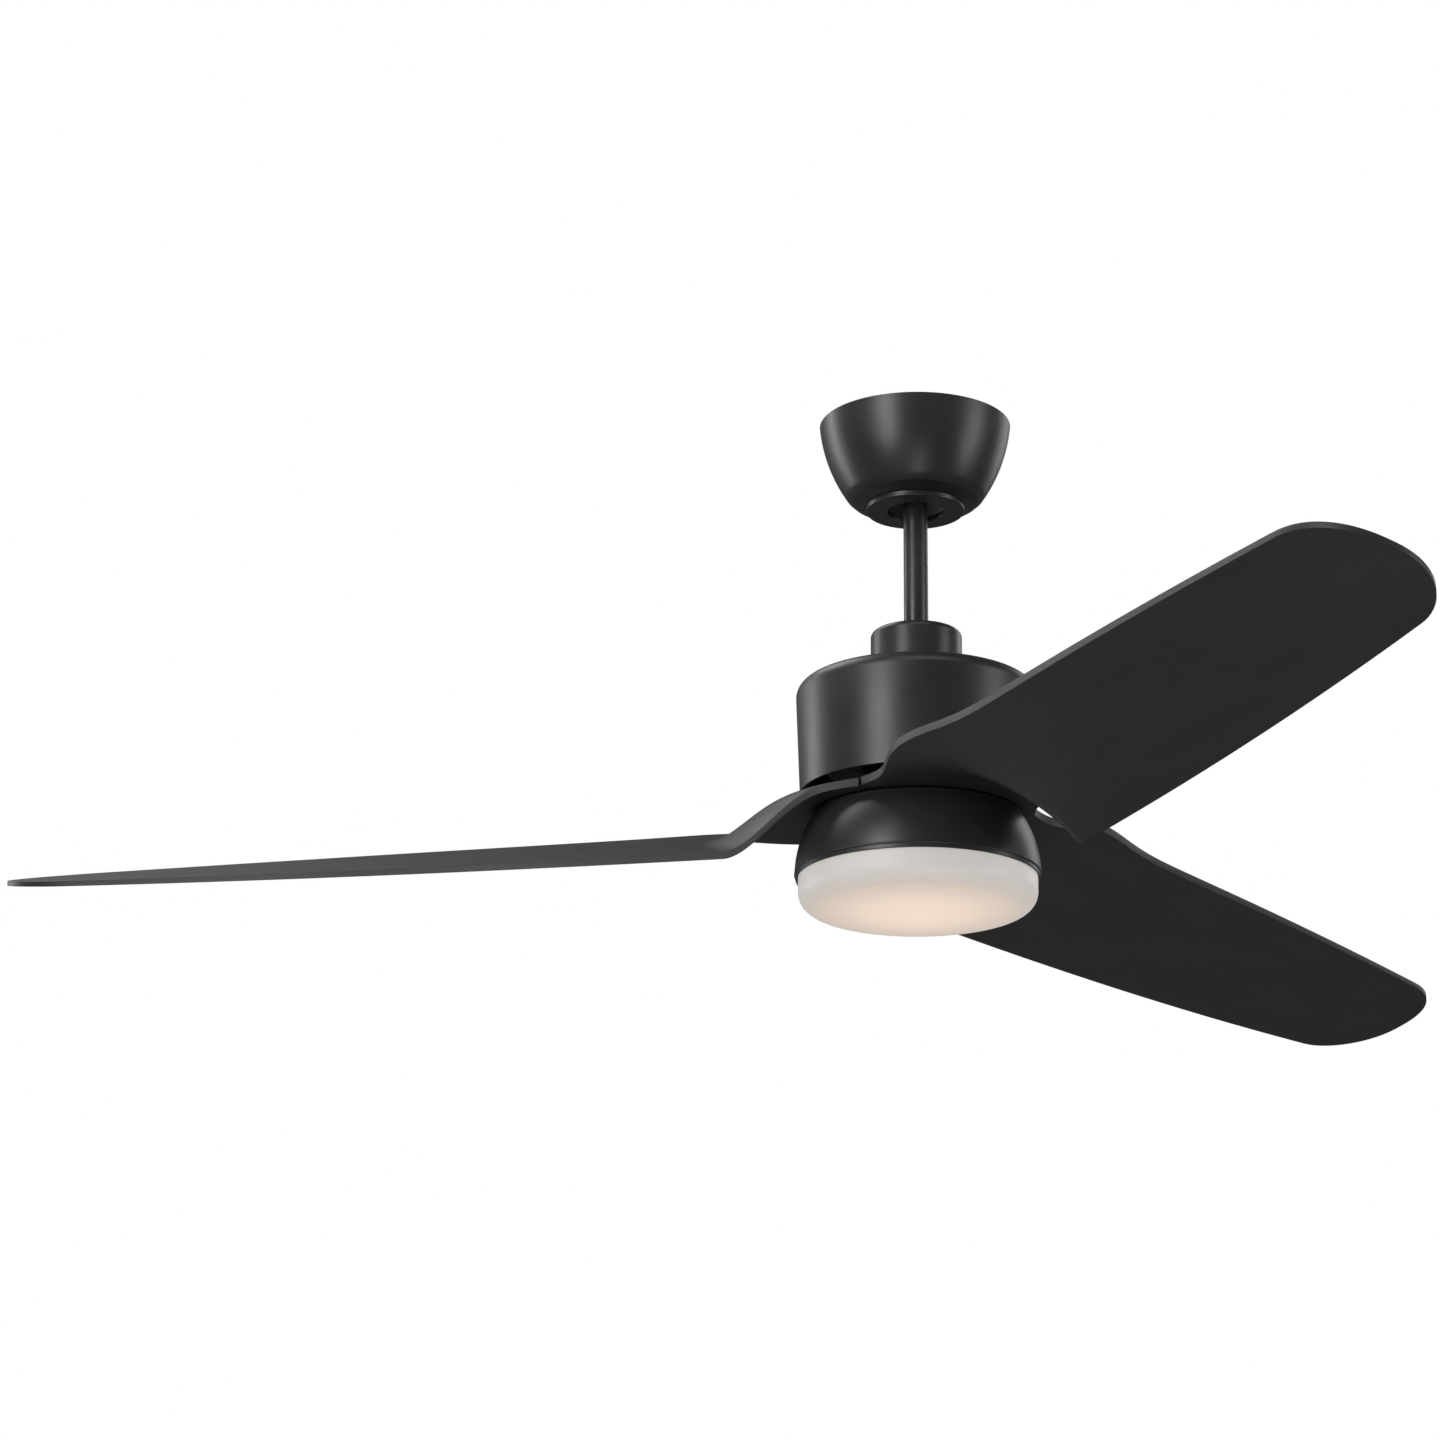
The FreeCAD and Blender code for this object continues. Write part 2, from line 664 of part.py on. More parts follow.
def rotor_magnets():
    half = stack_h / 2 + 1.5
    block = wedge(magnet_in, magnet_out, split_z - half, split_z + half, 0, 360.0 / poles - 1.5)
    return lumps(ring_of(block, poles))


hub_top = shell_in_low - shell_wall
hub_flange_t = 4.0
hub_screw_places = [at(hub_neck_r + hub_neck_wall + 6.0, 60 * i) for i in range(6)]
root_sector = 360.0 / blade_count


def blade_screw_places():
    """Three screws in each blade's root, as (x, y)."""
    places = []
    for k in range(blade_count):
        middle = first_blade_angle + k * root_sector + seam_turn
        places += [at(blade_screw_pitch_r, middle + turn)
                   for turn in (-blade_screw_spread, 0, blade_screw_spread)]
    return places


def blade_hub():
    inner = hub_neck_r
    outer = hub_neck_r + hub_neck_wall
    hub = turned([(inner, hub_top), (outer + 12.0, hub_top), (outer + 12.0, hub_top - hub_flange_t),
                  (outer, hub_top - hub_flange_t), (outer, hub_disc_top, 3.0),
                  (hub_disc_r, hub_disc_top, 1.0),
                  (hub_disc_r, hub_disc_low), (inner, hub_disc_low)])
    for x, y in hub_screw_places:
        hub = hub.cut(cyl(2.0 + slip, hub_top - hub_flange_t - 1, hub_top + 1, x, y))
    for x, y in blade_screw_places():
        hub = hub.cut(cyl(blade_screw_r + slip, hub_disc_low - 1, hub_disc_top + 1, x, y))
    return hub


def hub_screws():
    return lumps([screw_up(x, y, hub_top - hub_flange_t, 3.6, 2.2, 2.0, hub_flange_t + shell_wall - 0.4)
                  for x, y in hub_screw_places])


def root_outline(inset, inner_r, outer_r, z):
    """Root sector between the two seams, as a closed face at a height."""
    sector = Part.makeCylinder(outer_r, 1.0, V(0, 0, z), UP, root_sector)
    sector.rotate(V(0, 0, 0), UP, seam_turn - root_sector / 2)
    for side in (-1, 1):
        angle = math.radians(seam_turn + side * root_sector / 2)
        strip = box(-5, outer_r + 5, -inset, inset, z - 1, z + 2)
        strip.rotate(V(0, 0, 0), UP, math.degrees(angle))
        sector = sector.cut(strip)
    return sector.cut(cyl(inner_r, z - 1, z + 2))


def blade_gaskets():
    gaskets = []
    for k in range(blade_count):
        pad = root_outline(seam_gap / 2 + 1.0, root_inner_r + 2.0, hub_disc_r - 2.0, 0)
        pad = pad.common(cyl(hub_disc_r, 0, 1))
        upper = max(pad.Faces, key=lambda f: f.CenterOfMass.z)
        pad = Part.Face(upper.OuterWire).extrude(V(0, 0, slip - gasket_t))
        pad.translate(V(0, 0, hub_disc_low - 1.0))
        pad.rotate(V(0, 0, 0), UP, first_blade_angle + k * root_sector)
        for x, y in blade_screw_places():
            pad = pad.cut(cyl(blade_screw_r + slip, root_top - 1, hub_disc_low + 1, x, y))
        gaskets.append(pad)
    return lumps(gaskets)


def seam_corner(side):
    """Where the seam meets the blade's edge."""
    angle = math.radians(seam_turn + side * root_sector / 2)
    inset = seam_gap / 2
    return V(joint_r * math.cos(angle) + side * inset * math.sin(angle),
             joint_r * math.sin(angle) - side * inset * math.cos(angle), 0)


def plain_edge(x, side):
    """Blade edge without its widenings: side -1 is the high edge, +1 the low one."""
    return chord_shift + side * (half_chord - chord_taper * (max(x, 0.0) / taper_at) ** 2.3)


def edge_y(x, side):
    """Blade edge, wider at the seam and, on the high side, beside the fold."""
    corner = seam_corner(side)
    nearness = min(max(1 - (x - corner.x) / flare_reach, 0.0), 1.0)
    wider = abs(corner.y - plain_edge(corner.x, side)) * nearness ** 2
    if side < 0:
        spread = fold_bulge_inner if x < fold_bulge_x else fold_bulge_outer
        wider += fold_bulge * math.exp(-((x - fold_bulge_x) / spread) ** 2)
    return plain_edge(x, side) + side * wider


def fold_share(x, y):
    """0 on the flat root plate, 1 on the pitched outer blade, smooth in between."""
    reach = math.hypot(x, fold_squash * (y - fold_centre_y))
    t = min(max((reach - fold_start) / (fold_end - fold_start), 0.0), 1.0)
    return t * t * (3 - 2 * t)


def blade_mid(x, y):
    """Height of the blade's middle surface in the blade's own frame."""
    span = min(max(x, 0.0) / pitch_span, 1.1)
    drop = centre_drop + centre_slope * x - centre_curve * x * x
    outer = root_mid - drop - (y - chord_shift) * (pitch_slope - pitch_loss * span ** 3.5)
    high_side = min(max((-fold_dip_start - y) / fold_dip_width, 0.0), 1.0) ** 2
    dip = fold_dip * high_side * math.exp(-((x - fold_dip_x) / fold_dip_spread) ** 2)
    return root_mid - dip + (outer - root_mid) * fold_share(x, y)


def blade_thickness(x):
    share = min(max((x - 110.0) / (blade_sweep_r - 110.0), 0.0), 1.0)
    return root_t - (root_t - tip_t) * share


def tip_curve(side):
    """Rounded end on one side of the blade, from the straight edge out to the tip."""
    reach, power = (62.0, 2.5) if side < 0 else (72.0, 2.0)
    start = blade_sweep_r - reach
    points = []
    for i in range(9):
        angle = math.pi / 2 * i / 8
        x = start + reach * math.sin(angle) ** (2 / power)
        share = math.cos(angle) ** (2 / power) if i < 8 else 0.0
        y = chord_shift + (edge_y(x, side) - chord_shift) * share
        points.append(V(x, y, 0))
    return points


def smooth_edge(points):
    curve = Part.BSplineCurve()
    curve.interpolate(points)
    return curve.toShape()


def blade_outline():
    """Closed face of one blade's planform in its own frame, root plate included."""
    edges = []
    corners = {}
    for side in (-1, 1):
        corner = seam_corner(side)
        tip = tip_curve(side)
        near = [corner.x + 12.0 * i for i in range(1, 17)]
        far = [near[-1] + (tip[0].x - near[-1]) * i / 6 for i in range(1, 6)]
        run = [corner] + [V(x, edge_y(x, side), 0) for x in near + far] + tip
        edges.append(smooth_edge(run))
        angle = math.radians(seam_turn + side * root_sector / 2)
        inset = seam_gap / 2
        along = math.sqrt(root_inner_r ** 2 - inset ** 2)
        inner = V(along * math.cos(angle) + side * inset * math.sin(angle),
                  along * math.sin(angle) - side * inset * math.cos(angle), 0)
        edges.append(Part.makeLine(corner, inner))
        corners[side] = inner
    middle = math.radians(seam_turn)
    peak = V(root_inner_r * math.cos(middle), root_inner_r * math.sin(middle), 0)
    edges.append(Part.Arc(corners[-1], peak, corners[1]).toShape())
    return Part.Face(Part.Wire(Part.__sortEdges__(edges)))


def blade_skin(offset):
    """Surface at the blade's middle height plus a share of its thickness."""
    xs = [5.0 * i for i in range(-2, 45)] + [240.0 + 40.0 * i for i in range(40)]
    xs = [x for x in xs if x < blade_sweep_r + 12] + [blade_sweep_r + 15]
    ys = [5.0 * i for i in range(-20, 21)]
    grid = [[V(x, y, blade_mid(x, y) + offset * blade_thickness(x)) for y in ys] for x in xs]
    surface = Part.BSplineSurface()
    surface.interpolate(grid)
    return surface.toShape()


def plain_blade():
    depth = 160.0
    low = root_mid - 120.0
    prism = blade_outline()
    prism.translate(V(0, 0, low))
    prism = prism.extrude(V(0, 0, depth))
    above = blade_skin(-0.5).extrude(V(0, 0, depth))
    below = blade_skin(0.5).extrude(V(0, 0, -depth))
    return prism.common(above).common(below)


def blade(base, index):
    shape = around(base, first_blade_angle + index * root_sector)
    for x, y in blade_screw_places()[3 * index:3 * index + 3]:
        shape = shape.cut(cyl(blade_screw_r + slip, root_low - 1, root_top + 1, x, y))
        shape = shape.cut(cyl(5.5, root_low - 1, root_low + 3.0, x, y))
    return shape


def blade_screws():
    length = root_t - 3.0 + gasket_t + hub_disc_t + 1.0
    return lumps([screw_up(x, y, root_low + 3.0, 5.0, 2.7, blade_screw_r, length)
                  for x, y in blade_screw_places()])


# ---- light --------------------------------------------------------------------------------
driver_low = sink_top
driver_top = driver_low + driver_size[2]
bowl_screw_places = [at(30.0, 30 + 120 * i) for i in range(3)]
standoff_places = [at(standoff_pitch_r, 90 + 120 * i) for i in range(3)]


def light_plate():
    plate = tube(plate_r, shaft_r + slip, plate_low, plate_top)
    for x, y in bowl_screw_places:
        plate = plate.cut(cyl(1.8 + slip, plate_low - 1, plate_top + 1, x, y))
    return plate


def shaft_nut():
    return hexagon(nut_across, plate_low - nut_h, plate_low).cut(
        cyl(shaft_r + slip, plate_low - nut_h - 1, plate_low + 1))


def light_bowl():
    side = arc_shell((bowl_top_r, bowl_top - 2.25), (bowl_mid_r, bowl_top - 0.4845 * bowl_h),
                     (bowl_lip_r, lip_low), bowl_wall)
    cap = turned([(shaft_r + 0.5, bowl_top), (bowl_top_r - 0.2, bowl_top, 2.0), (bowl_top_r, bowl_top - 2.25),
                  (bowl_top_r - bowl_wall, bowl_top - 2.25),
                  (bowl_top_r - bowl_wall - 4.0, bowl_top - bowl_wall),
                  (shaft_r + 0.5, bowl_top - bowl_wall)])
    bowl = side.fuse(cap)
    for x, y in bowl_screw_places:
        bowl = bowl.cut(cyl(1.8 + slip, bowl_top - bowl_wall - 1, bowl_top + 1, x, y))
    return bowl.removeSplitter()


def bowl_screws():
    return lumps([screw_up(x, y, plate_low, 3.4, 2.0, 1.8, plate_t + bowl_wall - 0.3)
                  for x, y in bowl_screw_places])


def led_standoffs():
    posts = []
    for x, y in standoff_places:
        post = hexagon(2 * standoff_r * 0.92, sink_top, plate_low, x, y)
        posts.append(post.cut(cyl(1.5 + slip, sink_top - 1, sink_top + 9, x, y)))
    return lumps(posts)


def led_driver():
    length, width, height = driver_size
    case = box(-length / 2, length / 2, -width / 2, width / 2, driver_low, driver_top)
    return case.makeFillet(1.2, [e for e in case.Edges if e.BoundBox.ZMax > driver_top - 0.1])


def heat_sink():
    tray = tube(sink_r, 1.5, sink_low, sink_top)
    tray = tray.fuse(tube(sink_r, sink_r - 2.0, sink_low, sink_low + sink_rim))
    for x, y in standoff_places:
        tray = tray.cut(cyl(1.5 + slip, sink_low - 1, sink_top + 1, x, y))
    return tray.removeSplitter()


def led_board():
    board = cyl(board_r, board_low, board_top)
    for x, y in standoff_places:
        board = board.cut(cyl(1.5 + slip, board_low - 1, board_top + 1, x, y))
    return board


def led_chips():
    chip = chip_w / 2
    chips = []
    for ring_radius, count in ((12.0, 6), (26.0, 12), (50.0, 18), (63.0, 24)):
        one = box(ring_radius - chip, ring_radius + chip, -chip, chip, board_low - chip_t, board_low)
        chips += ring_of(one, count)
    return lumps(chips)


def board_screws():
    return lumps([screw_up(x, y, board_low, 2.8, 1.6, 1.5, board_t + sink_t + 7.0)
                  for x, y in standoff_places])


def bayonet_ring():
    bore = neck_r + 0.7
    ring = tube(bowl_inner_at(bayonet_low) - 0.1, bore, bayonet_low, bayonet_top)
    for k in range(lug_count):
        notch = wedge(bore - 1, neck_r + lug_out + 0.7, bayonet_low - 1, bayonet_top + 1,
                      360.0 / lug_count * k + diffuser_twist, lug_width + 3.0)
        ring = ring.cut(notch)
    return ring


def bowl_inner_at(z):
    """Bowl's inside radius at a height near its lip, kept on the safe side."""
    lean = (bowl_lip_r - bowl_mid_r) / (0.5155 * bowl_h)
    return bowl_lip_r - bowl_wall - lean * (z - lip_low)


def lip_gasket():
    return tube(bowl_inner_at(bayonet_low) - 0.6, neck_r + 1.2, gasket_low, bayonet_low)


def diffuser():
    side_low = shoulder_z - diffuser_side
    rim_low = side_low - diffuser_round
    flat_r = diffuser_r - diffuser_round
    w = diffuser_wall
    sag_low = rim_low - diffuser_sag
    dome_r = (flat_r ** 2 + diffuser_sag ** 2) / (2 * diffuser_sag)
    lean = math.asin(flat_r / dome_r)

    def dome(radius, centre_z, share):
        return V(radius * math.sin(lean * share), 0, centre_z - radius * math.cos(lean * share))
    outer_centre = sag_low + dome_r
    diagonal = diffuser_round * math.sin(math.pi / 4)
    corner = V(flat_r, 0, side_low)
    inner_round = diffuser_round - w
    inner_diagonal = inner_round * math.sin(math.pi / 4)
    neck_in = neck_r - neck_wall
    neck_top = lug_low + lug_t + 0.4
    edges = [
        Part.Arc(dome(dome_r, outer_centre, 0), dome(dome_r, outer_centre, 0.5),
                 V(flat_r, 0, rim_low)).toShape(),
        Part.Arc(V(flat_r, 0, rim_low), corner + V(diagonal, 0, -diagonal), V(diffuser_r, 0, side_low)).toShape(),
        Part.makeLine(V(diffuser_r, 0, side_low), V(diffuser_r, 0, shoulder_z)),
        Part.makeLine(V(diffuser_r, 0, shoulder_z), V(neck_r, 0, shoulder_z)),
        Part.makeLine(V(neck_r, 0, shoulder_z), V(neck_r, 0, neck_top)),
        Part.makeLine(V(neck_r, 0, neck_top), V(neck_in, 0, neck_top)),
        Part.makeLine(V(neck_in, 0, neck_top), V(neck_in, 0, shoulder_z - w)),
        Part.makeLine(V(neck_in, 0, shoulder_z - w), V(diffuser_r - w, 0, shoulder_z - w)),
        Part.makeLine(V(diffuser_r - w, 0, shoulder_z - w), V(diffuser_r - w, 0, side_low)),
        Part.Arc(V(diffuser_r - w, 0, side_low), corner + V(inner_diagonal, 0, -inner_diagonal),
                 V(flat_r, 0, side_low - inner_round)).toShape(),
        Part.Arc(V(flat_r, 0, rim_low + w), dome(dome_r, outer_centre + w, 0.5),
                 dome(dome_r, outer_centre + w, 0)).toShape(),
        Part.makeLine(V(0, 0, sag_low + w), V(0, 0, sag_low)),
    ]
    glass = Part.Face(Part.Wire(Part.__sortEdges__(edges))).revolve(V(0, 0, 0), UP, 360)
    for k in range(lug_count):
        glass = glass.fuse(wedge(neck_r - 1.0, neck_r + lug_out, lug_low, lug_low + lug_t,
                                 360.0 / lug_count * k, lug_width))
    return glass


# ---- build --------------------------------------------------------------------------------
def save(name, shape):
    shape.exportStep("parts/" + name + ".step")


os.makedirs("parts", exist_ok=True)
pieces = [hanger_bracket, ground_screw, canopy, canopy_screws, canopy_ring, receiver, receiver_leads,
          wire_nuts, ball_liner, hanger_ball, ball_cross_pin, ball_set_screw, downrod, motor_yoke,
          clevis_pin, cotter_pin, yoke_set_screws, yoke_jam_nuts, coupling_cover, motor_housing,
          housing_screws, housing_nuts, motor_shaft, stator_core, stator_windings,
          bearing_inner_races, bearing_outer_races, bearing_ball_sets, motor_leads,
          rotor_upper_shell, rotor_lower_shell, rotor_screws, rotor_magnets, blade_hub, hub_screws,
          blade_gaskets, blade_screws, light_plate, shaft_nut, light_bowl, bowl_screws, led_standoffs,
          led_driver, heat_sink, led_board, led_chips, board_screws, bayonet_ring, lip_gasket, diffuser]
for piece in pieces:
    save(piece.__name__, piece())
whole_blade = plain_blade()
for index in range(blade_count):
    save("blade_" + "abcdefgh"[index], blade(whole_blade, index))
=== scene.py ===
import json
import math

import bmesh
import bpy
from mathutils import Matrix, Vector


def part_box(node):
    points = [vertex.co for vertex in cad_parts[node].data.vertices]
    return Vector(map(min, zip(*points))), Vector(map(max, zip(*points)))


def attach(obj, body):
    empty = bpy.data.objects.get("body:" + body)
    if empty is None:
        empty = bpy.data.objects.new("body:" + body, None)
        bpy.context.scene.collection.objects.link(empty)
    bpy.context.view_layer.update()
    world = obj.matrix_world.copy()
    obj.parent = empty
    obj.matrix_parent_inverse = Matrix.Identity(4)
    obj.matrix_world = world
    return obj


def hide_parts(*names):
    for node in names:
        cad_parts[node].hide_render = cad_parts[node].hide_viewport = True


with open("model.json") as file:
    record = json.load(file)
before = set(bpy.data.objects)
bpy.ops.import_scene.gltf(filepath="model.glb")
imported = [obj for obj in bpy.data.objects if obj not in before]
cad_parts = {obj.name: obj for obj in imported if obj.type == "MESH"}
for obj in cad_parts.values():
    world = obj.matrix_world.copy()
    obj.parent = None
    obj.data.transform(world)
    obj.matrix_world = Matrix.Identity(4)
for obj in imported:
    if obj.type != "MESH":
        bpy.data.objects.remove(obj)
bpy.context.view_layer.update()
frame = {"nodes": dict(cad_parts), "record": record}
print("frame loaded:", len(frame["nodes"]), "nodes")


class Signal:  # a node's output that takes part in sums
    def __init__(self, graph, socket):
        self.graph = graph
        self.socket = socket

    def join(self, operation, first, second):
        return self.graph.node("ShaderNodeMath", {"operation": operation}, {0: first, 1: second})[0]

    def __add__(self, other): return self.join("ADD", self, other)
    def __radd__(self, other): return self.join("ADD", other, self)
    def __sub__(self, other): return self.join("SUBTRACT", self, other)
    def __rsub__(self, other): return self.join("SUBTRACT", other, self)
    def __mul__(self, other): return self.join("MULTIPLY", self, other)
    def __rmul__(self, other): return self.join("MULTIPLY", other, self)
    def __truediv__(self, other): return self.join("DIVIDE", self, other)
    def __rtruediv__(self, other): return self.join("DIVIDE", other, self)
    def __pow__(self, other): return self.join("POWER", self, other)
    def __rpow__(self, other): return self.join("POWER", other, self)


class Outputs:  # a node's outputs, by name or by place
    def __init__(self, graph, node):
        self.graph = graph
        self.made = node

    def __getitem__(self, key):
        return Signal(self.graph, self.made.outputs[key])


class Graph:  # one shader, world or geometry tree
    def __init__(self, tree):
        self.tree = tree
        tree.nodes.clear()

    def node(self, kind, settings=None, sockets=None):
        made = self.tree.nodes.new(kind)
        for name, value in (settings or {}).items():
            if name == "stops":
                self.fillRamp(made.color_ramp, value)
            else:
                setattr(made, name, value)
        for key, value in (sockets or {}).items():
            for item in value if isinstance(value, list) else [value]:  # a list is several links
                if isinstance(item, Signal):
                    self.tree.links.new(item.socket, made.inputs[key])
                else:
                    made.inputs[key].default_value = item
        return Outputs(self, made)

    def fillRamp(self, ramp, stops):
        while len(ramp.elements) < len(stops):
            ramp.elements.new(0.5)
        for element, (place, colour) in zip(ramp.elements, stops):
            element.position = place
            element.color = (*colour, 1.0)


stageLook = {"floorDrop": 4.1, "radius": 14.0, "paper": (0.86, 0.86, 0.855), "lift": 0.75}


def buildStage():
    mesh = bpy.data.meshes.new("paleFloor")
    shape = bmesh.new()
    bmesh.ops.create_circle(shape, cap_ends=True, segments=96, radius=stageLook["radius"])
    bmesh.ops.translate(shape, verts=shape.verts, vec=(0, 0, -stageLook["floorDrop"]))
    shape.to_mesh(mesh)
    shape.free()
    floor = bpy.data.objects.new("paleFloor", mesh)
    bpy.context.collection.objects.link(floor)
    paper = bpy.data.materials.new("palePaper")
    paper.use_nodes = True
    graph = Graph(paper.node_tree)
    paperColour = (*stageLook["paper"], 1)
    surface = graph.node("ShaderNodeBsdfPrincipled", None,
                         {"Base Color": paperColour, "Roughness": 0.9, "Specular IOR Level": 0.1})
    lit = graph.node("ShaderNodeEmission", None, {"Color": paperColour, "Strength": 1.0})
    direct = graph.node("ShaderNodeLightPath")["Is Camera Ray"] * stageLook["lift"]
    both = graph.node("ShaderNodeMixShader", None, {0: direct, 1: surface["BSDF"], 2: lit["Emission"]})
    graph.node("ShaderNodeOutputMaterial", None, {"Surface": both["Shader"]})
    mesh.materials.append(paper)


cameraPlace = {"at": (0.0, -3.10182, -1.25509), "pan": -0.05173, "tilt": 0.31161, "roll": -0.00913,
               "lens": 99.85}


def buildCamera():
    pan, tilt, roll = cameraPlace["pan"], cameraPlace["tilt"], cameraPlace["roll"]
    forward = Vector((math.sin(pan) * math.cos(tilt), math.cos(pan) * math.cos(tilt), math.sin(tilt)))
    right = Vector((math.cos(pan), -math.sin(pan), 0))
    up = right.cross(forward)
    turn = Matrix.Rotation(roll, 3, forward)
    right, up = turn @ right, turn @ up
    data = bpy.data.cameras.new("shot")
    data.lens = cameraPlace["lens"]
    data.sensor_width = 36.0
    data.clip_end = 60.0
    shot = bpy.data.objects.new("shot", data)
    basis = Matrix((right, up, -forward)).transposed().to_4x4()
    shot.matrix_world = Matrix.Translation(cameraPlace["at"]) @ basis
    bpy.context.collection.objects.link(shot)
    bpy.context.scene.camera = shot


lamps = {
    "leftSoft": {"at": (-1.6, -2.3, -0.05), "size": (0.9, 2.2), "power": 50, "aim": (0, 0, -0.28)},
    "rightSoft": {"at": (2.6, -0.6, -0.2), "size": (1.0, 2.2), "power": 26, "aim": (0, 0, -0.28)},
    "frontFill": {"at": (0.5, -2.3, -2.2), "size": (1.2, 1.0), "power": 16, "aim": (0.15, -0.2, -0.36)},
    "leftRim": {"at": (-2.3, 1.2, 0.1), "size": (0.5, 1.8), "power": 18, "aim": (0, 0, -0.25)},
    "backSoft": {"at": (1.9, 2.2, 0.9), "size": (1.2, 1.8), "power": 12, "aim": (0, 0, -0.3)},
    "topFront": {"at": (0.3, -2.0, 1.9), "size": (2.4, 0.7), "power": 15, "aim": (0, 0, -0.3)},
    "highBack": {"at": (-1.4, 0.5, 1.5), "size": (1.6, 1.2), "power": 24, "aim": (0, 0, -0.35)},
}
worldLook = {"white": (1.0, 1.0, 1.0), "lighting": 0.10, "seen": 1.0}


def buildLights():
    for name, lamp in lamps.items():
        data = bpy.data.lights.new(name, "AREA")
        data.shape = "RECTANGLE"
        data.size, data.size_y = lamp["size"]
        data.energy = lamp["power"]
        holder = bpy.data.objects.new(name, data)
        holder.location = lamp["at"]
        aim = Vector(lamp["aim"]) - Vector(lamp["at"])
        holder.rotation_euler = aim.to_track_quat("-Z", "Y").to_euler()
        bpy.context.collection.objects.link(holder)
    world = bpy.data.worlds.new("softRoom")
    bpy.context.scene.world = world
    world.use_nodes = True
    graph = Graph(world.node_tree)
    seen = graph.node("ShaderNodeLightPath")["Is Camera Ray"]
    strength = worldLook["lighting"] + seen * (worldLook["seen"] - worldLook["lighting"])
    sky = graph.node("ShaderNodeBackground", None, {"Color": (*worldLook["white"], 1), "Strength": strength})
    graph.node("ShaderNodeOutputWorld", None, {"Surface": sky["Background"]})


buildStage()
buildCamera()
buildLights()
bpy.context.scene.view_settings.view_transform = "Standard"
print("stage, camera and lights set")


class Finish(Graph):  # a material being made, with its own pattern helpers
    def __init__(self, name):
        self.made = bpy.data.materials.new(name)
        self.made.use_nodes = True
        super().__init__(self.made.node_tree)
        self.spot = self.node("ShaderNodeTexCoord")["Object"]

    def stretch(self, x, y, z):  # the pattern's own scale along each axis
        return self.node("ShaderNodeMapping", None, {"Vector": self.spot, "Scale": (x, y, z)})["Vector"]

    def axes(self, spot=None):
        parts = self.node("ShaderNodeSeparateXYZ", None, {"Vector": spot or self.spot})
        return parts["X"], parts["Y"], parts["Z"]

    def noise(self, scale, detail=2.0, spot=None):
        return self.node("ShaderNodeTexNoise", None,
                         {"Vector": spot or self.spot, "Scale": scale, "Detail": detail})["Fac"]

    def cells(self, scale, spot=None):
        return self.node("ShaderNodeTexVoronoi", None,
                         {"Vector": spot or self.spot, "Scale": scale})["Distance"]

    def ranged(self, value, low, high, fromLow=0.3, fromHigh=0.7):
        return self.node("ShaderNodeMapRange", None,
                         {"Value": value, "From Min": fromLow, "From Max": fromHigh,
                          "To Min": low, "To Max": high})["Result"]

    def wave(self, value):
        return self.node("ShaderNodeMath", {"operation": "SINE"}, {0: value})[0]

    def distance(self, x, y):
        return (x * x + y * y) ** 0.5

    def mixed(self, share, first, second):
        return self.node("ShaderNodeMix", {"data_type": "RGBA"},
                         {0: share, 6: self.colour(first), 7: self.colour(second)})[2]

    def colour(self, value):
        return value if isinstance(value, Signal) else (*value, 1.0)

    def bump(self, height, strength, depth):
        return self.node("ShaderNodeBump", None,
                         {"Height": height, "Strength": strength, "Distance": depth})["Normal"]

    def close(self, sockets):
        shader = self.node("ShaderNodeBsdfPrincipled", None, sockets)
        self.node("ShaderNodeOutputMaterial", None, {"Surface": shader["BSDF"]})
        return self.made


paintLook = {"dark": (0.016, 0.016, 0.017), "light": (0.022, 0.022, 0.023), "satin": (0.34, 0.42),
             "peel": 520.0, "peelDepth": 0.00012, "dust": 2600.0}


def paintFinish(name, look):  # powder coat: orange peel, slight cloudiness, fine specks
    f = Finish(name)
    cloud = f.noise(14.0, 4.0)
    peel = f.noise(look["peel"], 2.0)
    speck = f.cells(look["dust"])
    roughness = f.ranged(cloud, *look["satin"]) + (peel - 0.5) * 0.10
    return f.close({"Base Color": f.mixed(f.ranged(cloud, 0.0, 1.0), look["dark"], look["light"]),
                    "Roughness": roughness, "IOR": 1.5,
                    "Normal": f.bump(peel + speck * 0.25, 0.22, look["peelDepth"])})


bladeLook = {"dark": (0.017, 0.017, 0.018), "light": (0.024, 0.024, 0.025), "matte": (0.46, 0.58),
             "grain": 1500.0, "grainDepth": 0.00010, "streak": (9.0, 9.0, 120.0)}


def bladeFinish():  # moulded resin: fine leather-like grain and faint flow marks
    f = Finish("mouldedBlade")
    flow = f.noise(1.0, 5.0, f.stretch(*bladeLook["streak"]))
    grain = f.cells(bladeLook["grain"])
    fine = f.noise(bladeLook["grain"] * 1.7, 2.0)
    roughness = f.ranged(flow, *bladeLook["matte"]) + (grain - 0.5) * 0.12
    return f.close({"Base Color": f.mixed(f.ranged(flow, 0.0, 1.0), bladeLook["dark"], bladeLook["light"]),
                    "Roughness": roughness, "IOR": 1.46,
                    "Normal": f.bump(grain * 0.7 + fine * 0.6, 0.35, bladeLook["grainDepth"])})


# emission colours: a painted glow, warm in the middle and cooler to the rim; 'edge' is the painted highlight
# along the shoulder
glassLook = {"centre": (0.82, 0.655, 0.535), "glowing": (0.76, 0.61, 0.505), "middle": (0.57, 0.48, 0.405),
             "rim": (0.42, 0.395, 0.375), "edge": (0.95, 0.94, 0.93), "glow": 1.0, "reach": 0.0965,
             "frost": 1400.0, "bright": (0.0006, 0.0018), "opalDark": (0.20, 0.195, 0.19),
             "opalLight": (0.23, 0.225, 0.22), "satin": (0.44, 0.52)}


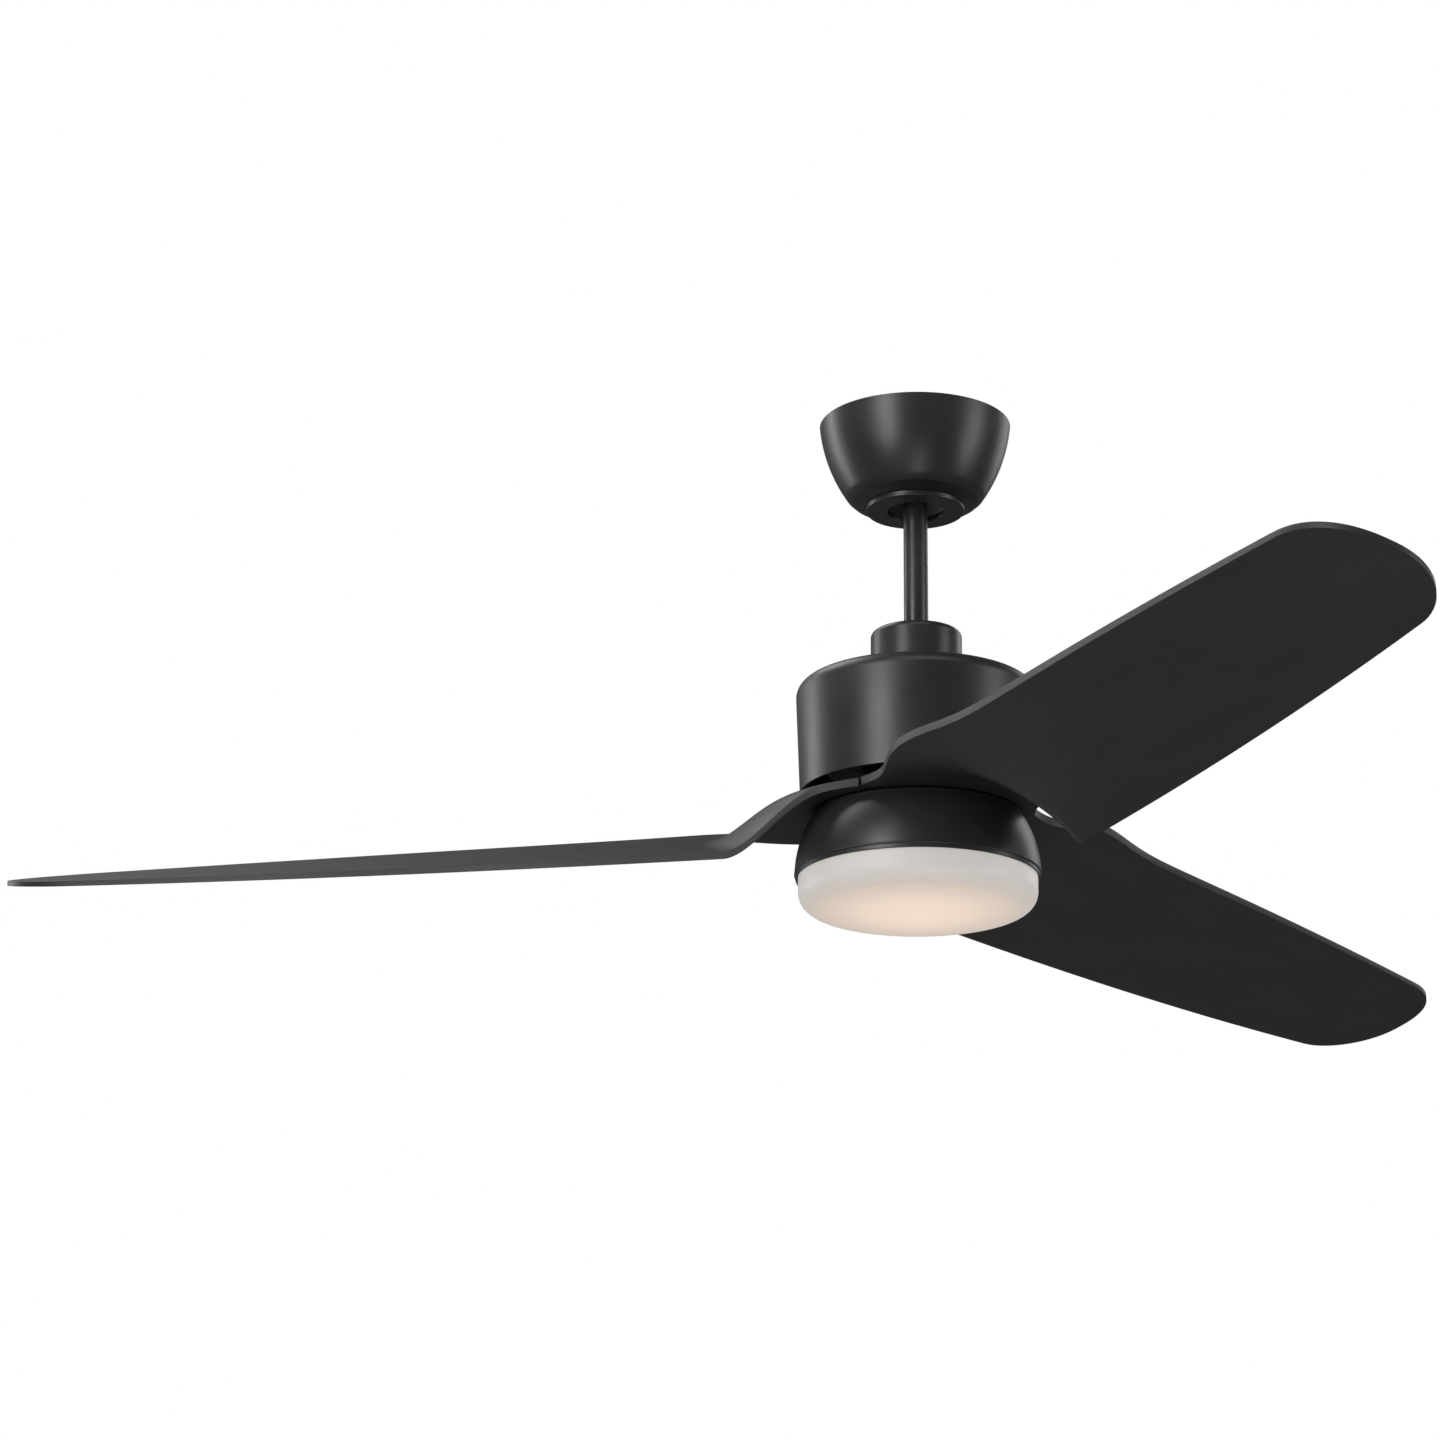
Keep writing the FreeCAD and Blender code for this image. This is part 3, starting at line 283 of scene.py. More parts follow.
def glassFinish(top):  # painted glow from within: warm in the middle, cooler to the rim, with a painted highlight band at the shoulder
    f = Finish("opalGlass")
    x, y, z = f.axes()
    reach = f.distance(x, y) * (1.0 / glassLook["reach"])
    glow = f.node("ShaderNodeValToRGB",
                  {"stops": [(0.0, glassLook["centre"]), (0.42, glassLook["glowing"]),
                             (0.82, glassLook["middle"]), (0.995, glassLook["rim"])]},
                  {"Fac": reach})["Color"]
    # painted highlight: a thin band of emission in the 'edge' colour just under the glass top
    near, far = glassLook["bright"]
    shoulder = f.ranged(z, 0.0, 1.0, top - far, top - near)
    frost = f.noise(glassLook["frost"], 2.0)
    cloud = f.noise(30.0, 3.0)
    return f.close({"Base Color": f.mixed(f.ranged(cloud, 0.0, 1.0), glassLook["opalDark"],
                                          glassLook["opalLight"]),
                    "Roughness": f.ranged(cloud, *glassLook["satin"]), "IOR": 1.5,
                    "Emission Color": f.mixed(shoulder, glow, glassLook["edge"]),
                    "Emission Strength": glassLook["glow"], "Normal": f.bump(frost, 0.10, 0.00006)})


metalLook = {
    "zincPlate": {"dark": (0.47, 0.48, 0.50), "light": (0.66, 0.67, 0.66),
        "rough": (0.26, 0.42), "grain": 900.0},
    "groundSteel": {"dark": (0.42, 0.42, 0.43), "light": (0.60, 0.60, 0.61),
        "rough": (0.18, 0.30), "grain": 2600.0},
    "castAlloy": {"dark": (0.36, 0.36, 0.37), "light": (0.52, 0.52, 0.53),
        "rough": (0.42, 0.60), "grain": 650.0},
    "greenScrew": {"dark": (0.03, 0.22, 0.07), "light": (0.08, 0.42, 0.15),
        "rough": (0.28, 0.42), "grain": 900.0},
}


def metalFinish(name):  # crystalline spangle under fine turning lines
    look = metalLook[name]
    f = Finish(name)
    spangle = f.cells(look["grain"] * 0.3)
    lines = f.noise(1.0, 2.0, f.stretch(60.0, 60.0, look["grain"]))
    cloud = f.noise(40.0, 4.0)
    tone = f.ranged(cloud * 0.5 + spangle * 0.5, 0.0, 1.0)
    return f.close({"Base Color": f.mixed(tone, look["dark"], look["light"]),
                    "Metallic": 1.0, "Roughness": f.ranged(lines * 0.6 + cloud * 0.4, *look["rough"]),
                    "Normal": f.bump(lines + spangle * 0.4, 0.25, 0.00008)})


laminationLook = {"sheet": 0.0005, "dark": (0.14, 0.145, 0.155), "light": (0.36, 0.37, 0.385)}


def laminationFinish():  # stacked sheets seen edge on
    f = Finish("laminations")
    height = f.axes()[2]
    sheets = f.wave(height * (math.tau / laminationLook["sheet"])) * 0.5 + 0.5
    oil = f.noise(55.0, 4.0)
    tone = f.mixed(sheets * 0.6 + oil * 0.4, laminationLook["dark"], laminationLook["light"])
    return f.close({"Base Color": tone, "Metallic": 0.9, "Roughness": f.ranged(oil, 0.35, 0.5),
                    "Normal": f.bump(sheets, 0.5, 0.0001)})


copperLook = {"dark": (0.42, 0.11, 0.03), "light": (0.80, 0.32, 0.12)}


def copperFinish():  # enamelled wire, darker where the varnish pools
    f = Finish("enamelledCopper")
    varnish = f.noise(160.0, 4.0)
    drawn = f.noise(1200.0, 2.0)
    tone = f.mixed(f.ranged(varnish, 0.0, 1.0), copperLook["dark"], copperLook["light"])
    return f.close({"Base Color": tone, "Metallic": 0.85, "Roughness": f.ranged(varnish, 0.22, 0.36),
                    "Coat Weight": 0.6, "Coat Roughness": 0.12, "Normal": f.bump(drawn, 0.12, 0.00004)})


mouldLook = {
    "blackNylon": {"dark": (0.020, 0.020, 0.021), "light": (0.040, 0.040, 0.042),
        "rough": (0.42, 0.55), "grain": 1300.0},
    "naturalNylon": {"dark": (0.66, 0.64, 0.59), "light": (0.78, 0.77, 0.73),
        "rough": (0.38, 0.50), "grain": 900.0},
    "receiverCase": {"dark": (0.62, 0.62, 0.60), "light": (0.72, 0.72, 0.71),
        "rough": (0.45, 0.58), "grain": 1500.0},
    "redLead": {"dark": (0.36, 0.020, 0.015), "light": (0.52, 0.045, 0.035),
        "rough": (0.36, 0.48), "grain": 700.0},
    "orangeNut": {"dark": (0.70, 0.20, 0.02), "light": (0.85, 0.30, 0.045),
        "rough": (0.32, 0.44), "grain": 800.0},
    "blackRubber": {"dark": (0.012, 0.012, 0.013), "light": (0.026, 0.026, 0.027),
        "rough": (0.60, 0.75), "grain": 1800.0},
    "ferrite": {"dark": (0.045, 0.045, 0.050), "light": (0.11, 0.11, 0.115),
        "rough": (0.50, 0.66), "grain": 1100.0},
}


def mouldFinish(name):  # any moulded or pressed part: spark texture and slight cloudiness
    look = mouldLook[name]
    f = Finish(name)
    cloud = f.noise(70.0, 4.0)
    spark = f.noise(look["grain"], 3.0)
    tone = f.ranged(cloud * 0.6 + spark * 0.4, 0.0, 1.0)
    return f.close({"Base Color": f.mixed(tone, look["dark"], look["light"]),
                    "Roughness": f.ranged(spark, *look["rough"]), "Normal": f.bump(spark, 0.3, 0.00008)})


boardLook = {"mask": (0.80, 0.80, 0.78), "track": (0.70, 0.71, 0.70), "rings": 150.0}


def boardFinish():  # white solder mask with tracks just showing under it
    f = Finish("solderMask")
    x, y = f.axes()[:2]
    rings = f.wave(f.distance(x, y) * (math.tau * boardLook["rings"])) * 0.5 + 0.5
    tracks = f.ranged(rings, 0.0, 1.0, 0.80, 0.88)
    speck = f.noise(2200.0, 2.0)
    return f.close({"Base Color": f.mixed(tracks, boardLook["mask"], boardLook["track"]),
                    "Roughness": f.ranged(speck, 0.26, 0.36),
                    "Normal": f.bump(tracks + speck * 0.1, 0.4, 0.00005)})


chipLook = {"dark": (0.80, 0.55, 0.12), "light": (0.95, 0.78, 0.30), "glow": 0.6}


def chipFinish():  # phosphor gel
    f = Finish("phosphor")
    gel = f.noise(1500.0, 3.0)
    tone = f.mixed(f.ranged(gel, 0.0, 1.0), chipLook["dark"], chipLook["light"])
    return f.close({"Base Color": tone, "Roughness": f.ranged(gel, 0.18, 0.30), "Emission Color": tone,
                    "Emission Strength": chipLook["glow"], "Normal": f.bump(gel, 0.2, 0.00004)})


def makeFinishes():
    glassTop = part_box("lip_gasket")[0][2]
    return {
        "black_paint": paintFinish("satinPaint", paintLook), "blade_black": bladeFinish(),
        "zinc_steel": metalFinish("zincPlate"), "shaft_steel": metalFinish("groundSteel"),
        "lamination_steel": laminationFinish(), "winding_copper": copperFinish(),
        "magnet_dark": mouldFinish("ferrite"), "cast_aluminium": metalFinish("castAlloy"),
        "nylon_black": mouldFinish("blackNylon"), "nylon_white": mouldFinish("naturalNylon"),
        "receiver_grey": mouldFinish("receiverCase"), "wire_red": mouldFinish("redLead"),
        "nut_orange": mouldFinish("orangeNut"), "ground_green": metalFinish("greenScrew"),
        "gasket_rubber": mouldFinish("blackRubber"), "board_white": boardFinish(),
        "chip_yellow": chipFinish(), "opal_glass": glassFinish(glassTop),
    }


def dressCadNodes():
    for entry in frame["record"]["subparts"]:
        node = frame["nodes"][entry["node"]]
        for slot in node.material_slots:
            slot.material = finishes[entry["material_slot"]]


finishes = makeFinishes()
dressCadNodes()
print("finishes made:", len(finishes))


def arcThrough(first, middle, last, steps):  # points of the arc through three (radius, height) points
    (x1, y1), (x2, y2), (x3, y3) = first, middle, last
    d = 2 * (x1 * (y2 - y3) + x2 * (y3 - y1) + x3 * (y1 - y2))
    s1, s2, s3 = x1 * x1 + y1 * y1, x2 * x2 + y2 * y2, x3 * x3 + y3 * y3
    cx = (s1 * (y2 - y3) + s2 * (y3 - y1) + s3 * (y1 - y2)) / d
    cy = (s1 * (x3 - x2) + s2 * (x1 - x3) + s3 * (x2 - x1)) / d
    radius = math.hypot(x1 - cx, y1 - cy)
    start, end = math.atan2(y1 - cy, x1 - cx), math.atan2(y3 - cy, x3 - cx)
    turn = (end - start + math.pi) % math.tau - math.pi
    angles = [start + turn * i / steps for i in range(steps + 1)]
    return [(cx + radius * math.cos(angle), cy + radius * math.sin(angle)) for angle in angles]


def rounded(points, steps=6):  # open line of (radius, height) points; a third number rounds that corner
    line = []
    for i, point in enumerate(points):
        here = Vector(point[:2])
        if len(point) < 3:
            line.append((here.x, here.y))
            continue
        before = (Vector(points[i - 1][:2]) - here).normalized()
        after = (Vector(points[(i + 1) % len(points)][:2]) - here).normalized()
        half = before.angle(after) / 2
        reach = point[2] / math.tan(half)
        centre = here + (before + after).normalized() * (point[2] / math.sin(half))
        first, last = here + before * reach - centre, here + after * reach - centre
        turn = first.angle_signed(last)
        for step in range(steps + 1):
            spoke = Matrix.Rotation(-turn * step / steps, 2) @ first
            line.append((centre.x + spoke.x, centre.y + spoke.y))
    return line


def sheetLoop(outer, wall):  # closed loop of a sheet whose outer face is the line, with softened ends
    line = [Vector(point) for point in outer]
    inner = []
    for i, here in enumerate(line):
        into = (here - line[i - 1]).normalized() if i else (line[1] - here).normalized()
        away = (line[i + 1] - here).normalized() if i + 1 < len(line) else into
        side = Vector((into.y, -into.x)) + Vector((away.y, -away.x))
        side.normalize()
        lean = max(side.dot(Vector((away.y, -away.x))), 0.5)
        inner.append(here + side * (wall / lean))
    loop = list(line)
    for a, b, before in ((line[-1], inner[-1], line[-2]), (inner[0], line[0], line[1])):
        out = (line[-1] - before if a is line[-1] else line[0] - before).normalized() * (wall * 0.25)
        loop += [a * 0.78 + b * 0.22 + out * 0.8, a * 0.5 + b * 0.5 + out, a * 0.22 + b * 0.78 + out * 0.8]
        if a is line[-1]:
            loop += reversed(inner)
    return [(point.x, point.y) for point in loop]


def turnedMesh(name, loop, segments=192):  # closed loop round the fan's axis; points on the axis become poles
    mesh = bmesh.new()
    rings = []
    for radius, height in loop:
        if abs(radius) < 1e-7:
            rings.append([mesh.verts.new((0, 0, height))])
            continue
        rings.append([mesh.verts.new((radius * math.cos(math.tau * k / segments),
                                      radius * math.sin(math.tau * k / segments), height))
                      for k in range(segments)])
    for i, ring in enumerate(rings):
        following = rings[(i + 1) % len(rings)]
        if len(ring) == 1 and len(following) == 1:
            continue
        for k in range(segments):
            n = (k + 1) % segments
            corners = [ring[k % len(ring)], ring[n % len(ring)], following[n % len(following)],
                       following[k % len(following)]]
            mesh.faces.new(list(dict.fromkeys(corners)))
    bmesh.ops.recalc_face_normals(mesh, faces=mesh.faces)
    made = bpy.data.meshes.new(name)
    mesh.to_mesh(made)
    mesh.free()
    return smoothed(made)


def smoothed(mesh, sharp=32.0):  # smooth faces with crisp edges above an angle
    shape = bmesh.new()
    shape.from_mesh(mesh)
    for face in shape.faces:
        face.smooth = True
    for edge in shape.edges:
        edge.smooth = len(edge.link_faces) == 2 and edge.calc_face_angle(0) < math.radians(sharp)
    shape.to_mesh(mesh)
    shape.free()
    return mesh


def place(name, mesh, body, slot, nodes):  # a finished piece, and the nodes that it stands for
    piece = bpy.data.objects.new(name, mesh)
    bpy.context.collection.objects.link(piece)
    if not mesh.materials:
        mesh.materials.append(finishes[slot])
    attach(piece, body)
    if nodes:
        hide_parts(*nodes)
    return piece


def span(node):  # outer radius, low and high level of a turned node
    low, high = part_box(node)
    return high[0], low[2], high[2]


canopyShape = {"waist": (0.0733, 0.40), "low": (0.0566, 0.0085), "step": (0.0521, 0.0044, 0.004),
               "floor": 0.0415, "hole": 0.027, "wall": 0.0014}


def buildCanopy():
    radius, low, high = span("canopy")
    waist = (canopyShape["waist"][0], high - canopyShape["waist"][1] * (high - low))
    shoulder = (canopyShape["low"][0], low + canopyShape["low"][1])
    step, lift, round_ = canopyShape["step"]
    line = arcThrough((radius, high), waist, shoulder, 28)
    line += rounded([shoulder, (step, low + lift, round_), (canopyShape["floor"], low, 0.006),
                     (canopyShape["hole"], low)], 8)[1:]
    sheet = [(across, min(up, high)) for across, up in sheetLoop(line, canopyShape["wall"])]  # flat rim
    place("canopyShell", turnedMesh("canopyShell", sheet),
          "ceiling_mount", "black_paint", ["canopy"])


rodShape = {"wall": 0.002, "chamfer": 0.0005}


def buildRod():
    radius, low, high = span("downrod")
    wall, cut = rodShape["wall"], rodShape["chamfer"]
    loop = rounded([(radius, low, cut), (radius, high, cut),
                    (radius - wall, high, cut), (radius - wall, low, cut)], 3)
    place("rodTube", turnedMesh("rodTube", loop, 96), "hanging_body", "black_paint", ["downrod"])


coverShape = {"corner": 0.0032, "wall": 0.0016, "bore": 0.0104}


def buildCover():
    radius, low, high = span("coupling_cover")
    line = rounded([(radius, low), (radius, high, coverShape["corner"]), (coverShape["bore"], high)], 10)
    place("couplingCup", turnedMesh("couplingCup", sheetLoop(line[::-1], -coverShape["wall"])),
          "coupling_cover", "black_paint", ["coupling_cover"])


housingShape = {"lowRadius": 0.093, "shoulder": 0.009, "hole": 0.0086, "wall": 0.0022}


def buildHousing():
    radius, low, high = span("motor_housing")
    line = rounded([(housingShape["lowRadius"], low), (radius, high, housingShape["shoulder"]),
                    (housingShape["hole"], high)], 14)
    place("housingDrum", turnedMesh("housingDrum", sheetLoop(line[::-1], -housingShape["wall"]), 256),
          "hanging_body", "black_paint", ["motor_housing"])


bowlShape = {"top": 0.0856, "middle": (0.0960, 0.4845), "hole": 0.009, "corner": 0.002, "drop": 0.00225,
             "wall": 0.0016, "bead": 0.0008, "band": 0.0034, "step": 0.0011, "foot": 0.0006,
             "footWall": 0.0012, "rise": 0.004, "inset": 0.0003, "ease": 0.0002}


def buildBowl():
    s = bowlShape
    radius, low, high = span("light_bowl")
    middle = (s["middle"][0], high - s["middle"][1] * (high - low))
    sideEnd = low + s["band"] + 2 * s["bead"]
    side = arcThrough((s["top"], high - s["drop"]), middle, (radius - s["inset"], sideEnd), 24)
    bead = [(radius - s["bead"] + s["bead"] * math.cos(a), sideEnd - s["bead"] + s["bead"] * math.sin(a))
            for a in (math.radians(60 - 20 * i) for i in range(8))]
    bandRadius = radius - s["step"]
    band = rounded([bead[-1], (bandRadius, low + s["band"], s["ease"]), (bandRadius, low, s["foot"]),
                    (bandRadius - s["footWall"], low)], 5)[1:]
    line = rounded([(s["hole"], high), (s["top"] - s["ease"], high, s["corner"]),
                    (s["top"], high - s["drop"])], 6)[:-1]
    back = [(r - s["wall"], z) for r, z in reversed(side[2:])]
    loop = line + side + bead + band + [(bandRadius - s["footWall"], low + s["rise"])] + back
    loop += [(s["top"] - s["rise"], high - s["wall"]), (s["hole"], high - s["wall"])]
    place("lightBowl", turnedMesh("lightBowl", loop, 256), "hanging_body", "black_paint", ["light_bowl"])


gasketShape = {"round": 0.0005}


def buildGasket():
    radius, low, high = span("lip_gasket")
    inner = gasketInner(radius)
    r = gasketShape["round"]
    loop = rounded([(radius, low, r), (radius, high, r), (inner, high, r), (inner, low, r)], 4)
    place("lipSeal", turnedMesh("lipSeal", loop, 256), "hanging_body", "gasket_rubber", ["lip_gasket"])


def gasketInner(radius):  # inner edge read from the seal's own corners
    corners = frame["nodes"]["lip_gasket"].data.vertices
    return min(math.hypot(corner.co.x, corner.co.y) for corner in corners)


diffuserShape = {"neck": 0.0915, "neckWall": 0.003, "wall": 0.0025, "side": 0.013, "round": 0.014,
                 "sag": 0.0035, "shoulderRound": 0.0012, "lipRound": 0.0004, "segments": 256}


def buildDiffuser():
    s = diffuserShape
    radius, low, high = span("diffuser")
    shoulder = low + s["sag"] + s["round"] + s["side"]
    sideLow, rimLow, flat = shoulder - s["side"], low + s["sag"], radius - s["round"]
    domeRadius = (flat ** 2 + s["sag"] ** 2) / (2 * s["sag"])
    wall = s["wall"]

    def dome(offset, steps=16):  # from the rim to the middle
        reach = math.asin(flat / domeRadius)
        return [((domeRadius - offset) * math.sin(reach * (1 - i / steps)) if i < steps else 0.0,
                 low + domeRadius - (domeRadius - offset) * math.cos(reach * (1 - i / steps)))
                for i in range(steps + 1)]

    def corner(size, steps=12):  # the round between side and dome
        angles = [math.pi / 2 * i / steps for i in range(steps)]
        return [(flat + size * math.cos(angle), sideLow - size * math.sin(angle)) for angle in angles]
    neckIn = s["neck"] - s["neckWall"]
    outside = rounded([(neckIn, high), (s["neck"], high, s["lipRound"]), (s["neck"], shoulder, 0.0003),
                       (radius, shoulder, s["shoulderRound"]), (radius, sideLow)], 5)[1:-1]
    outside += corner(s["round"]) + dome(0.0)
    inside = dome(wall)[::-1] + corner(s["round"] - wall)[::-1]
    inside += rounded([(radius - wall, sideLow), (radius - wall, shoulder - wall, 0.001),
                       (neckIn, shoulder - wall, 0.0005), (neckIn, high, s["lipRound"]),
                       (s["neck"], high)], 5)[1:-1]
    inside = [point for point in inside if point[0] > 1e-7 or point[1] > low + wall / 2]
    glass = turnedMesh("opalShade", outside + inside, s["segments"])
    place("opalShade", glass, "diffuser", "opal_glass", ["diffuser"])


for build in (buildCanopy, buildRod, buildCover, buildHousing, buildBowl, buildGasket, buildDiffuser):
    build()
print("turned pieces made")


class Recipe(Graph):  # a geometry tree with named inputs, ended by Realize Instances and Set Material
    def __init__(self, name, inputs):
        super().__init__(bpy.data.node_groups.new(name, "GeometryNodeTree"))
        sockets = self.tree.interface
        sockets.new_socket(name="Geometry", in_out="INPUT", socket_type="NodeSocketGeometry")
        sockets.new_socket(name="Geometry", in_out="OUTPUT", socket_type="NodeSocketGeometry")
        self.keys = {}
        for label, kind in {**inputs, "Finish": "Material"}.items():
            made = sockets.new_socket(name=label, in_out="INPUT", socket_type="NodeSocket" + kind)
            self.keys[label] = made.identifier
        self.given = self.node("NodeGroupInput")

    def maths(self, operation, first, second=0.0):
        return self.node("ShaderNodeMath", {"operation": operation}, {0: first, 1: second})[0]

    def clamped(self, value):
        return self.node("ShaderNodeClamp", None, {"Value": value})[0]

    def vector(self, x, y, z):
        return self.node("ShaderNodeCombineXYZ", None, {"X": x, "Y": y, "Z": z})["Vector"]

    def place(self):  # position of each point, as three signals
        spot = self.node("GeometryNodeInputPosition")["Position"]
        parts = self.node("ShaderNodeSeparateXYZ", None, {"Vector": spot})
        return parts["X"], parts["Y"], parts["Z"]

    def moved(self, geometry, position):
        return self.node("GeometryNodeSetPosition", None,
                         {"Geometry": geometry, "Position": position})["Geometry"]

    def copied(self, points, item, turn=(0.0, 0.0, 0.0)):
        return self.node("GeometryNodeInstanceOnPoints", None,
                         {"Points": points, "Instance": item, "Rotation": turn})["Instances"]

    def joined(self, *shapes):
        return self.node("GeometryNodeJoinGeometry", None, {0: list(shapes)})["Geometry"]

    def close(self, geometry):
        real = self.node("GeometryNodeRealizeInstances", None, {"Geometry": geometry})["Geometry"]
        done = self.node("GeometryNodeSetMaterial", None,
                         {"Geometry": real, "Material": self.given["Finish"]})
        self.node("NodeGroupOutput", None, {0: done["Geometry"]})
        return self


# runs a recipe on a base mesh and keeps the result as a plain mesh
def grow(name, base, recipe, values, body, slot, nodes, bevel=None, sharp=32.0):
    holder = bpy.data.objects.new(name + "Base", base)
    bpy.context.collection.objects.link(holder)
    rule = holder.modifiers.new("rule", "NODES")
    rule.node_group = recipe.tree
    for label, value in {**values, "Finish": finishes[slot]}.items():
        rule[recipe.keys[label]] = value
    if bevel:
        edge = holder.modifiers.new("edge", "BEVEL")
        edge.width, edge.segments, edge.limit_method = bevel, 3, "ANGLE"
        edge.angle_limit = math.radians(50)
    scene = bpy.context.evaluated_depsgraph_get()
    mesh = bpy.data.meshes.new_from_object(holder.evaluated_get(scene), depsgraph=scene)
    bpy.data.objects.remove(holder)
    mesh.name = name
    return place(name, smoothed(mesh, sharp), body, slot, nodes)


def pointMesh(name, places):
    mesh = bpy.data.meshes.new(name)
    mesh.from_pydata(places, [], [])
    return mesh


# a blade is a slab cut in plan, then lifted and folded by its recipe
bladePlan = {  # millimetres and degrees in the blade's own frame, x along its middle, low edge at +y
    "tip": 762.0, "root": 31.0, "joint": 94.6, "seamGap": 2.7, "seamTurn": 8.08, "sector": 120.0,
    "half": 72.7, "shift": 6.1, "taper": 13.2, "taperAt": 650.0, "taperPower": 2.3,
    "flareReach": 40.0, "bulge": 12.5, "bulgeAt": 138.0, "bulgeInner": 40.0, "bulgeOuter": 70.0,
    "tipHigh": (62.0, 2.5), "tipLow": (72.0, 2.0), "bowReach": 190.0,
    "rootRows": 22, "foldRows": 66, "outerRows": 52, "tipRows": 18, "across": 52,
    "foldEnd": 250.0, "firstAngle": 173.25, "edgeRound": 0.0020,
}
bladeLift = {  # millimetres: heights of the root plate and the pitched outer blade
    "Centre Drop": 22.2, "Centre Slope": 0.0226, "Centre Curve": 0.0000105,
    "Pitch": 0.396, "Pitch Loss": 0.07, "Loss Power": 3.5,
    "Fold Start": 112.0, "Fold End": 176.2, "Fold Squash": 1.186, "Fold Centre": -4.7,
    "Dip": 3.0, "Dip At": 128.0, "Dip Spread": 35.0, "Dip From": 20.0, "Dip Width": 50.0,
    "Root Thickness": 6.5, "Tip Thickness": 4.2, "Thin From": 110.0, "Tip": 762.0, "Shift": 6.1,
}


def seamPoint(side, radius):
    p = bladePlan
    angle = math.radians(p["seamTurn"] + side * p["sector"] / 2)
    inset = side * p["seamGap"] / 2
    return Vector((radius * math.cos(angle) + inset * math.sin(angle),
                   radius * math.sin(angle) - inset * math.cos(angle)))


def plainEdge(x, side):
    p = bladePlan
    return p["shift"] + side * (p["half"] - p["taper"] * (max(x, 0) / p["taperAt"]) ** p["taperPower"])


def edgePoint(x, side):
    p = bladePlan
    corner = seamPoint(side, p["joint"])
    nearness = min(max(1 - (x - corner.x) / p["flareReach"], 0), 1)
    wider = abs(corner.y - plainEdge(corner.x, side)) * nearness ** 2
    if side < 0:
        spread = p["bulgeInner"] if x < p["bulgeAt"] else p["bulgeOuter"]
        wider += p["bulge"] * math.exp(-((x - p["bulgeAt"]) / spread) ** 2)
    return Vector((x, plainEdge(x, side) + side * wider))


def tipPoint(side, share):
    p = bladePlan
    reach, power = p["tipHigh"] if side < 0 else p["tipLow"]
    x = p["tip"] - reach + reach * math.sin(math.pi / 2 * share) ** (2 / power)
    inward = math.cos(math.pi / 2 * share) ** (2 / power)
    return Vector((x, p["shift"] + (edgePoint(x, side).y - p["shift"]) * inward))


def bladeRows():  # rows of plan points from the root out to the tip
    p = bladePlan
    across = [i / p["across"] for i in range(p["across"] + 1)]
    high, low = seamPoint(-1, p["joint"]), seamPoint(1, p["joint"])

    def arcRow(radius):
        first, last = seamPoint(-1, radius), seamPoint(1, radius)
        start, end = math.atan2(first.y, first.x), math.atan2(last.y, last.x)
        return [Vector((first.length * math.cos(start + (end - start) * v),
                        first.length * math.sin(start + (end - start) * v))) for v in across]
    corner = arcRow(p["joint"])
    bow = [corner[i] - high.lerp(low, v) for i, v in enumerate(across)]
    rows = [arcRow(p["root"] + (p["joint"] - p["root"]) * i / p["rootRows"])
            for i in range(p["rootRows"] + 1)]
    ends = [tipPoint(side, 0).x for side in (-1, 1)]
    foldEnd = p["foldEnd"]
    starts = [high.x, low.x]
    for i in range(1, p["foldRows"] + p["outerRows"] + 1):
        if i <= p["foldRows"]:
            share = i / p["foldRows"]
            xs = [start + (foldEnd - start) * share for start in starts]
        else:
            share = (i - p["foldRows"]) / p["outerRows"]
            xs = [foldEnd + (end - foldEnd) * share for end in ends]
        a, b = edgePoint(xs[0], -1), edgePoint(xs[1], 1)
        held = max(1 - (sum(xs) - sum(starts)) / 2 / p["bowReach"], 0) ** 2
        rows.append([a.lerp(b, v) + bow[k] * held for k, v in enumerate(across)])
    for i in range(1, p["tipRows"]):
        a, b = tipPoint(-1, i / p["tipRows"]), tipPoint(1, i / p["tipRows"])
        rows.append([a.lerp(b, v) for v in across])
    return rows


def bladeSlab():  # flat closed slab; its two faces stand at +0.5 and -0.5 until the recipe lifts them
    rows = bladeRows()
    wide = len(rows[0])
    mesh = bmesh.new()
    faces = []
    for level in (0.5, -0.5):
        grid = [[mesh.verts.new((point.x, point.y, level)) for point in row] for row in rows]
        tip = mesh.verts.new((bladePlan["tip"], bladePlan["shift"], level))
        faces.append((grid, tip))
    for grid, tip in faces:
        for r in range(len(grid) - 1):
            for c in range(wide - 1):
                mesh.faces.new((grid[r][c], grid[r][c + 1], grid[r + 1][c + 1], grid[r + 1][c]))
        for c in range(wide - 1):
            mesh.faces.new((grid[-1][c], grid[-1][c + 1], tip))
    rims = []
    for grid, tip in faces:
        rims.append([row[0] for row in grid] + [tip] + [row[-1] for row in reversed(grid)]
                    + [grid[0][c] for c in range(wide - 2, 0, -1)])
    for i in range(len(rims[0])):
        n = (i + 1) % len(rims[0])
        mesh.faces.new((rims[0][i], rims[0][n], rims[1][n], rims[1][i]))
    bmesh.ops.recalc_face_normals(mesh, faces=mesh.faces)
    slab = bpy.data.meshes.new("bladeSlab")
    mesh.to_mesh(slab)
    mesh.free()
    return slab


